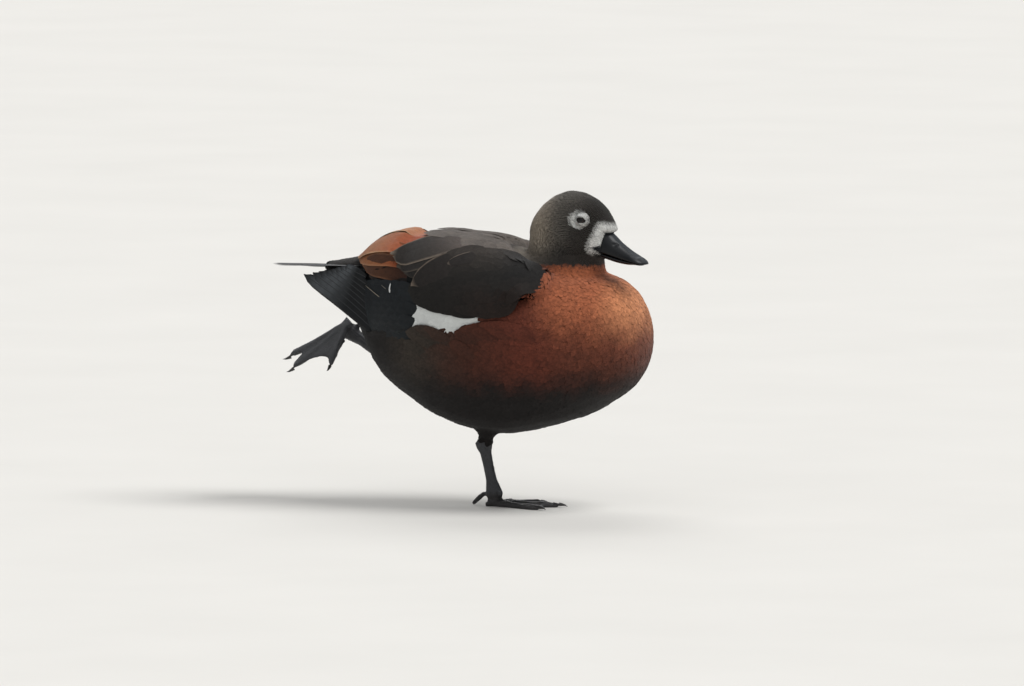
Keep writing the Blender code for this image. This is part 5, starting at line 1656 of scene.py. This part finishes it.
def bill_half(name, stations, widest_at, is_upper):
    """One sheath, widest at this share of its height."""
    rows = smooth_rows(stations, BILL_RINGS)
    angle = np.linspace(0.0, math.tau, BILL_SIDES, endpoint=False)
    cosine, sine = np.cos(angle), np.sin(angle)
    side_share = np.sign(cosine) * np.abs(cosine) ** (2 / BILL_POWER)
    high_share = np.sign(sine) * np.abs(sine) ** (2 / BILL_POWER)
    middle = rows[:, 2] + widest_at * (rows[:, 1] - rows[:, 2])
    x = np.repeat(rows[:, :1], BILL_SIDES, axis=1)
    y = rows[:, 3:4] * side_share
    above, below = (rows[:, 1] - middle)[:, None], (middle - rows[:, 2])[:, None]
    z = middle[:, None] + np.where(high_share > 0, above, below) * high_share
    colour = np.tile(hue("#0b0e11"), (BILL_RINGS, BILL_SIDES, 1))
    if is_upper:
        reach = np.hypot((x - NOSTRIL[0]) / NOSTRIL[2], (z - NOSTRIL[1]) / NOSTRIL[3])
        hollow = ease(-reach, -1.15, -0.55)
        lip = ease(-np.abs(reach - 1.25), -0.35, 0.0)
        y = y - np.sign(y) * (NOSTRIL_DEPTH * hollow - NOSTRIL_LIP * lip)
        nail = ease(x, 63.0, 65.0) * ease(-np.abs(y) / np.maximum(1.0, 5.4 - 0.35 * (x - 64.0)), -1.0, -0.8)
        nail = nail * (high_share > 0)
        z = z + NAIL_RISE * nail
        colour = mixed(colour, hue("#0c0e10"), hollow)
        colour = mixed(colour, hue("#24292c"), nail * 0.7)
        # A painted highlight: the top of the ridge is painted paler.
        painted_ridge_highlight = ease(high_share, 0.9, 1.0)
        colour = mixed(colour, hue("#22282d"), painted_ridge_highlight * 0.6)
        edge = ease(-(z - rows[:, 2:3]), -1.6, -0.3)
        colour = mixed(colour, hue("#0f1214"), edge * 0.7)
    else:
        colour = mixed(colour, hue("#121518"), 0.5)
    points = from_head(np.stack([x, y, z], axis=-1).reshape(-1, 3))
    quads = ring_quads(BILL_RINGS - 1, BILL_SIDES)[:, (0, 3, 2, 1)]
    if (corner_normals(points, quads)[BILL_SIDES // 4] @ HEAD_UP) < 0:
        quads = quads[:, ::-1]
    made = mesh_from(name, points, quads, (horn,))
    paint(made.data, colour.reshape(-1, 3))
    ring, step = np.divmod(np.arange(len(quads)), BILL_SIDES)
    rings, steps = ring[:, None] + (0, 0, 1, 1), step[:, None] + (0, 1, 1, 0)
    bake_map(made.data, np.stack([rings / BILL_RINGS, steps / BILL_SIDES], axis=-1).reshape(-1, 2))
    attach(made, "root")
    return made


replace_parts(bill_half("bill_upper_sheath", UPPER_BILL, 0.1, True), "bill_upper")
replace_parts(bill_half("bill_lower_sheath", LOWER_BILL, 0.9, False), "bill_lower")


# ---------------------------------------------------------------------------------------------------------
# The legs: rows of broad scutes down the front of the tarsus and along the top of each toe, over the small
# scales of the skin, and a curved black claw at the end of each toe.

scute_horn, tree, shader = material("scute_horn", {"Roughness": 0.45, "IOR": 1.54})
where = add(tree, "ShaderNodeTexCoord")
cloud = add(tree, "ShaderNodeTexNoise", {"Scale": 500.0, "Detail": 5.0}, {"Vector": where.outputs["Object"]})
patchy = add(tree, "ShaderNodeMapRange", {"To Min": 0.6, "To Max": 1.35}, {"Value": cloud.outputs["Fac"]})
tinted(tree, shader, patchy.outputs["Result"])
bump = add(tree, "ShaderNodeBump", {"Strength": 0.2, "Distance": 0.0002}, {"Height": cloud.outputs["Fac"]})
tree.links.new(bump.outputs["Normal"], shader.inputs["Normal"])

claw_horn, tree, shader = material("claw_horn", {"Roughness": 0.3, "IOR": 1.54})
where = add(tree, "ShaderNodeTexCoord")
grain = add(tree, "ShaderNodeTexNoise", {"Scale": 900.0, "Detail": 4.0}, {"Vector": where.outputs["Object"]})
tone = add(tree, "ShaderNodeValToRGB", {}, {"Fac": grain.outputs["Fac"]})
tone.color_ramp.elements[0].color = (*hue("#131211"), 1.0)
tone.color_ramp.elements[1].color = (*hue("#2c2926"), 1.0)
tree.links.new(tone.outputs["Color"], shader.inputs["Base Color"])

# Each leg has its ankle, the way its shin faces and the way the tops of its toes face.
LEGS = {
    "right": (np.array((-7.5, -14.0, 55.0)), np.array((1.0, 0.1, 0.25)), np.array((0.0, 0.0, 1.0))),
    "left": (HOCK, np.array((-0.5, -0.2, 0.85)), np.array((0.30, 0.72, -0.63))),
}
SCUTE_GAP = 1.7
SHIN_SCUTE, TOE_SCUTE, TOE_SCUTE_TAPER = 4.6, 4.4, 1.5
CLEAR_OF_SHIN, CLEAR_OF_TOE = 5.0, 4.0
CLAW_ROOT = 6.0
SCUTE_HALVES = (0.9, 1.0, 0.95, 0.7)
SCUTE_RISE = (0.05, 0.18, 0.28, 0.22)
SCUTE_SHADES = (0.8, 1.0, 1.25, 1.1)
SCUTE_ACROSS = 5
for side, (ankle, front, above) in LEGS.items():
    joint = TOE_JOINTS[side]
    starts, ways, sizes = [], [], []
    shin = joint - ankle
    for number in range(int(np.linalg.norm(shin) / SCUTE_GAP) - 1):
        starts.append(ankle + unit(shin) * SCUTE_GAP * (number + 1) + front * CLEAR_OF_SHIN)
        ways.append(unit(shin))
        sizes.append(SHIN_SCUTE)
    for toe in TOE_NAMES:
        node = "claw_" + side + "_" + toe
        claw = middle_of(node)
        way = unit(claw - joint)
        reach = np.linalg.norm(claw - joint)
        for number in range(int((reach - CLAW_ROOT) / SCUTE_GAP)):
            share = (number + 1) * SCUTE_GAP / reach
            starts.append(joint + way * (number + 1) * SCUTE_GAP + above * CLEAR_OF_TOE)
            ways.append(way)
            sizes.append(TOE_SCUTE - TOE_SCUTE_TAPER * share)
        claw_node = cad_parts[node]
        claw_node.data.materials.clear()
        claw_node.data.materials.append(claw_horn)
        claw_node.data.shade_smooth()
    starts, ways, sizes = np.array(starts), np.array(ways), np.array(sizes)
    count = len(starts)
    line, outward = walk(starts, ways, np.full(count, SCUTE_GAP * 1.6), SHORT_ROWS, follow=0.0, stiff=0.0)
    rise = np.tile(SCUTE_RISE, (count, 1))
    shape, vane = shaped(
        line, outward, sizes, rise, SHORT_ROWS, SCUTE_HALVES, SCUTE_ACROSS, 0.32, 0.10, 0.0
    )
    tone = bare_colour(line[:, 0])[:, None, None, :] * np.array(SCUTE_SHADES)[None, :, None, None]
    tone = tone * RANDOM.normal(1.0, 0.1, (count, 1, 1, 1))
    tone = np.broadcast_to(tone, (count, len(SHORT_ROWS), SCUTE_ACROSS, 3))
    flat, _ = unwrapped(line[:, 0], np.full(count, 2 if side == "right" else 3))
    mesh_of_vanes("scutes_" + side, shape, tone, vane, flat, scute_horn)
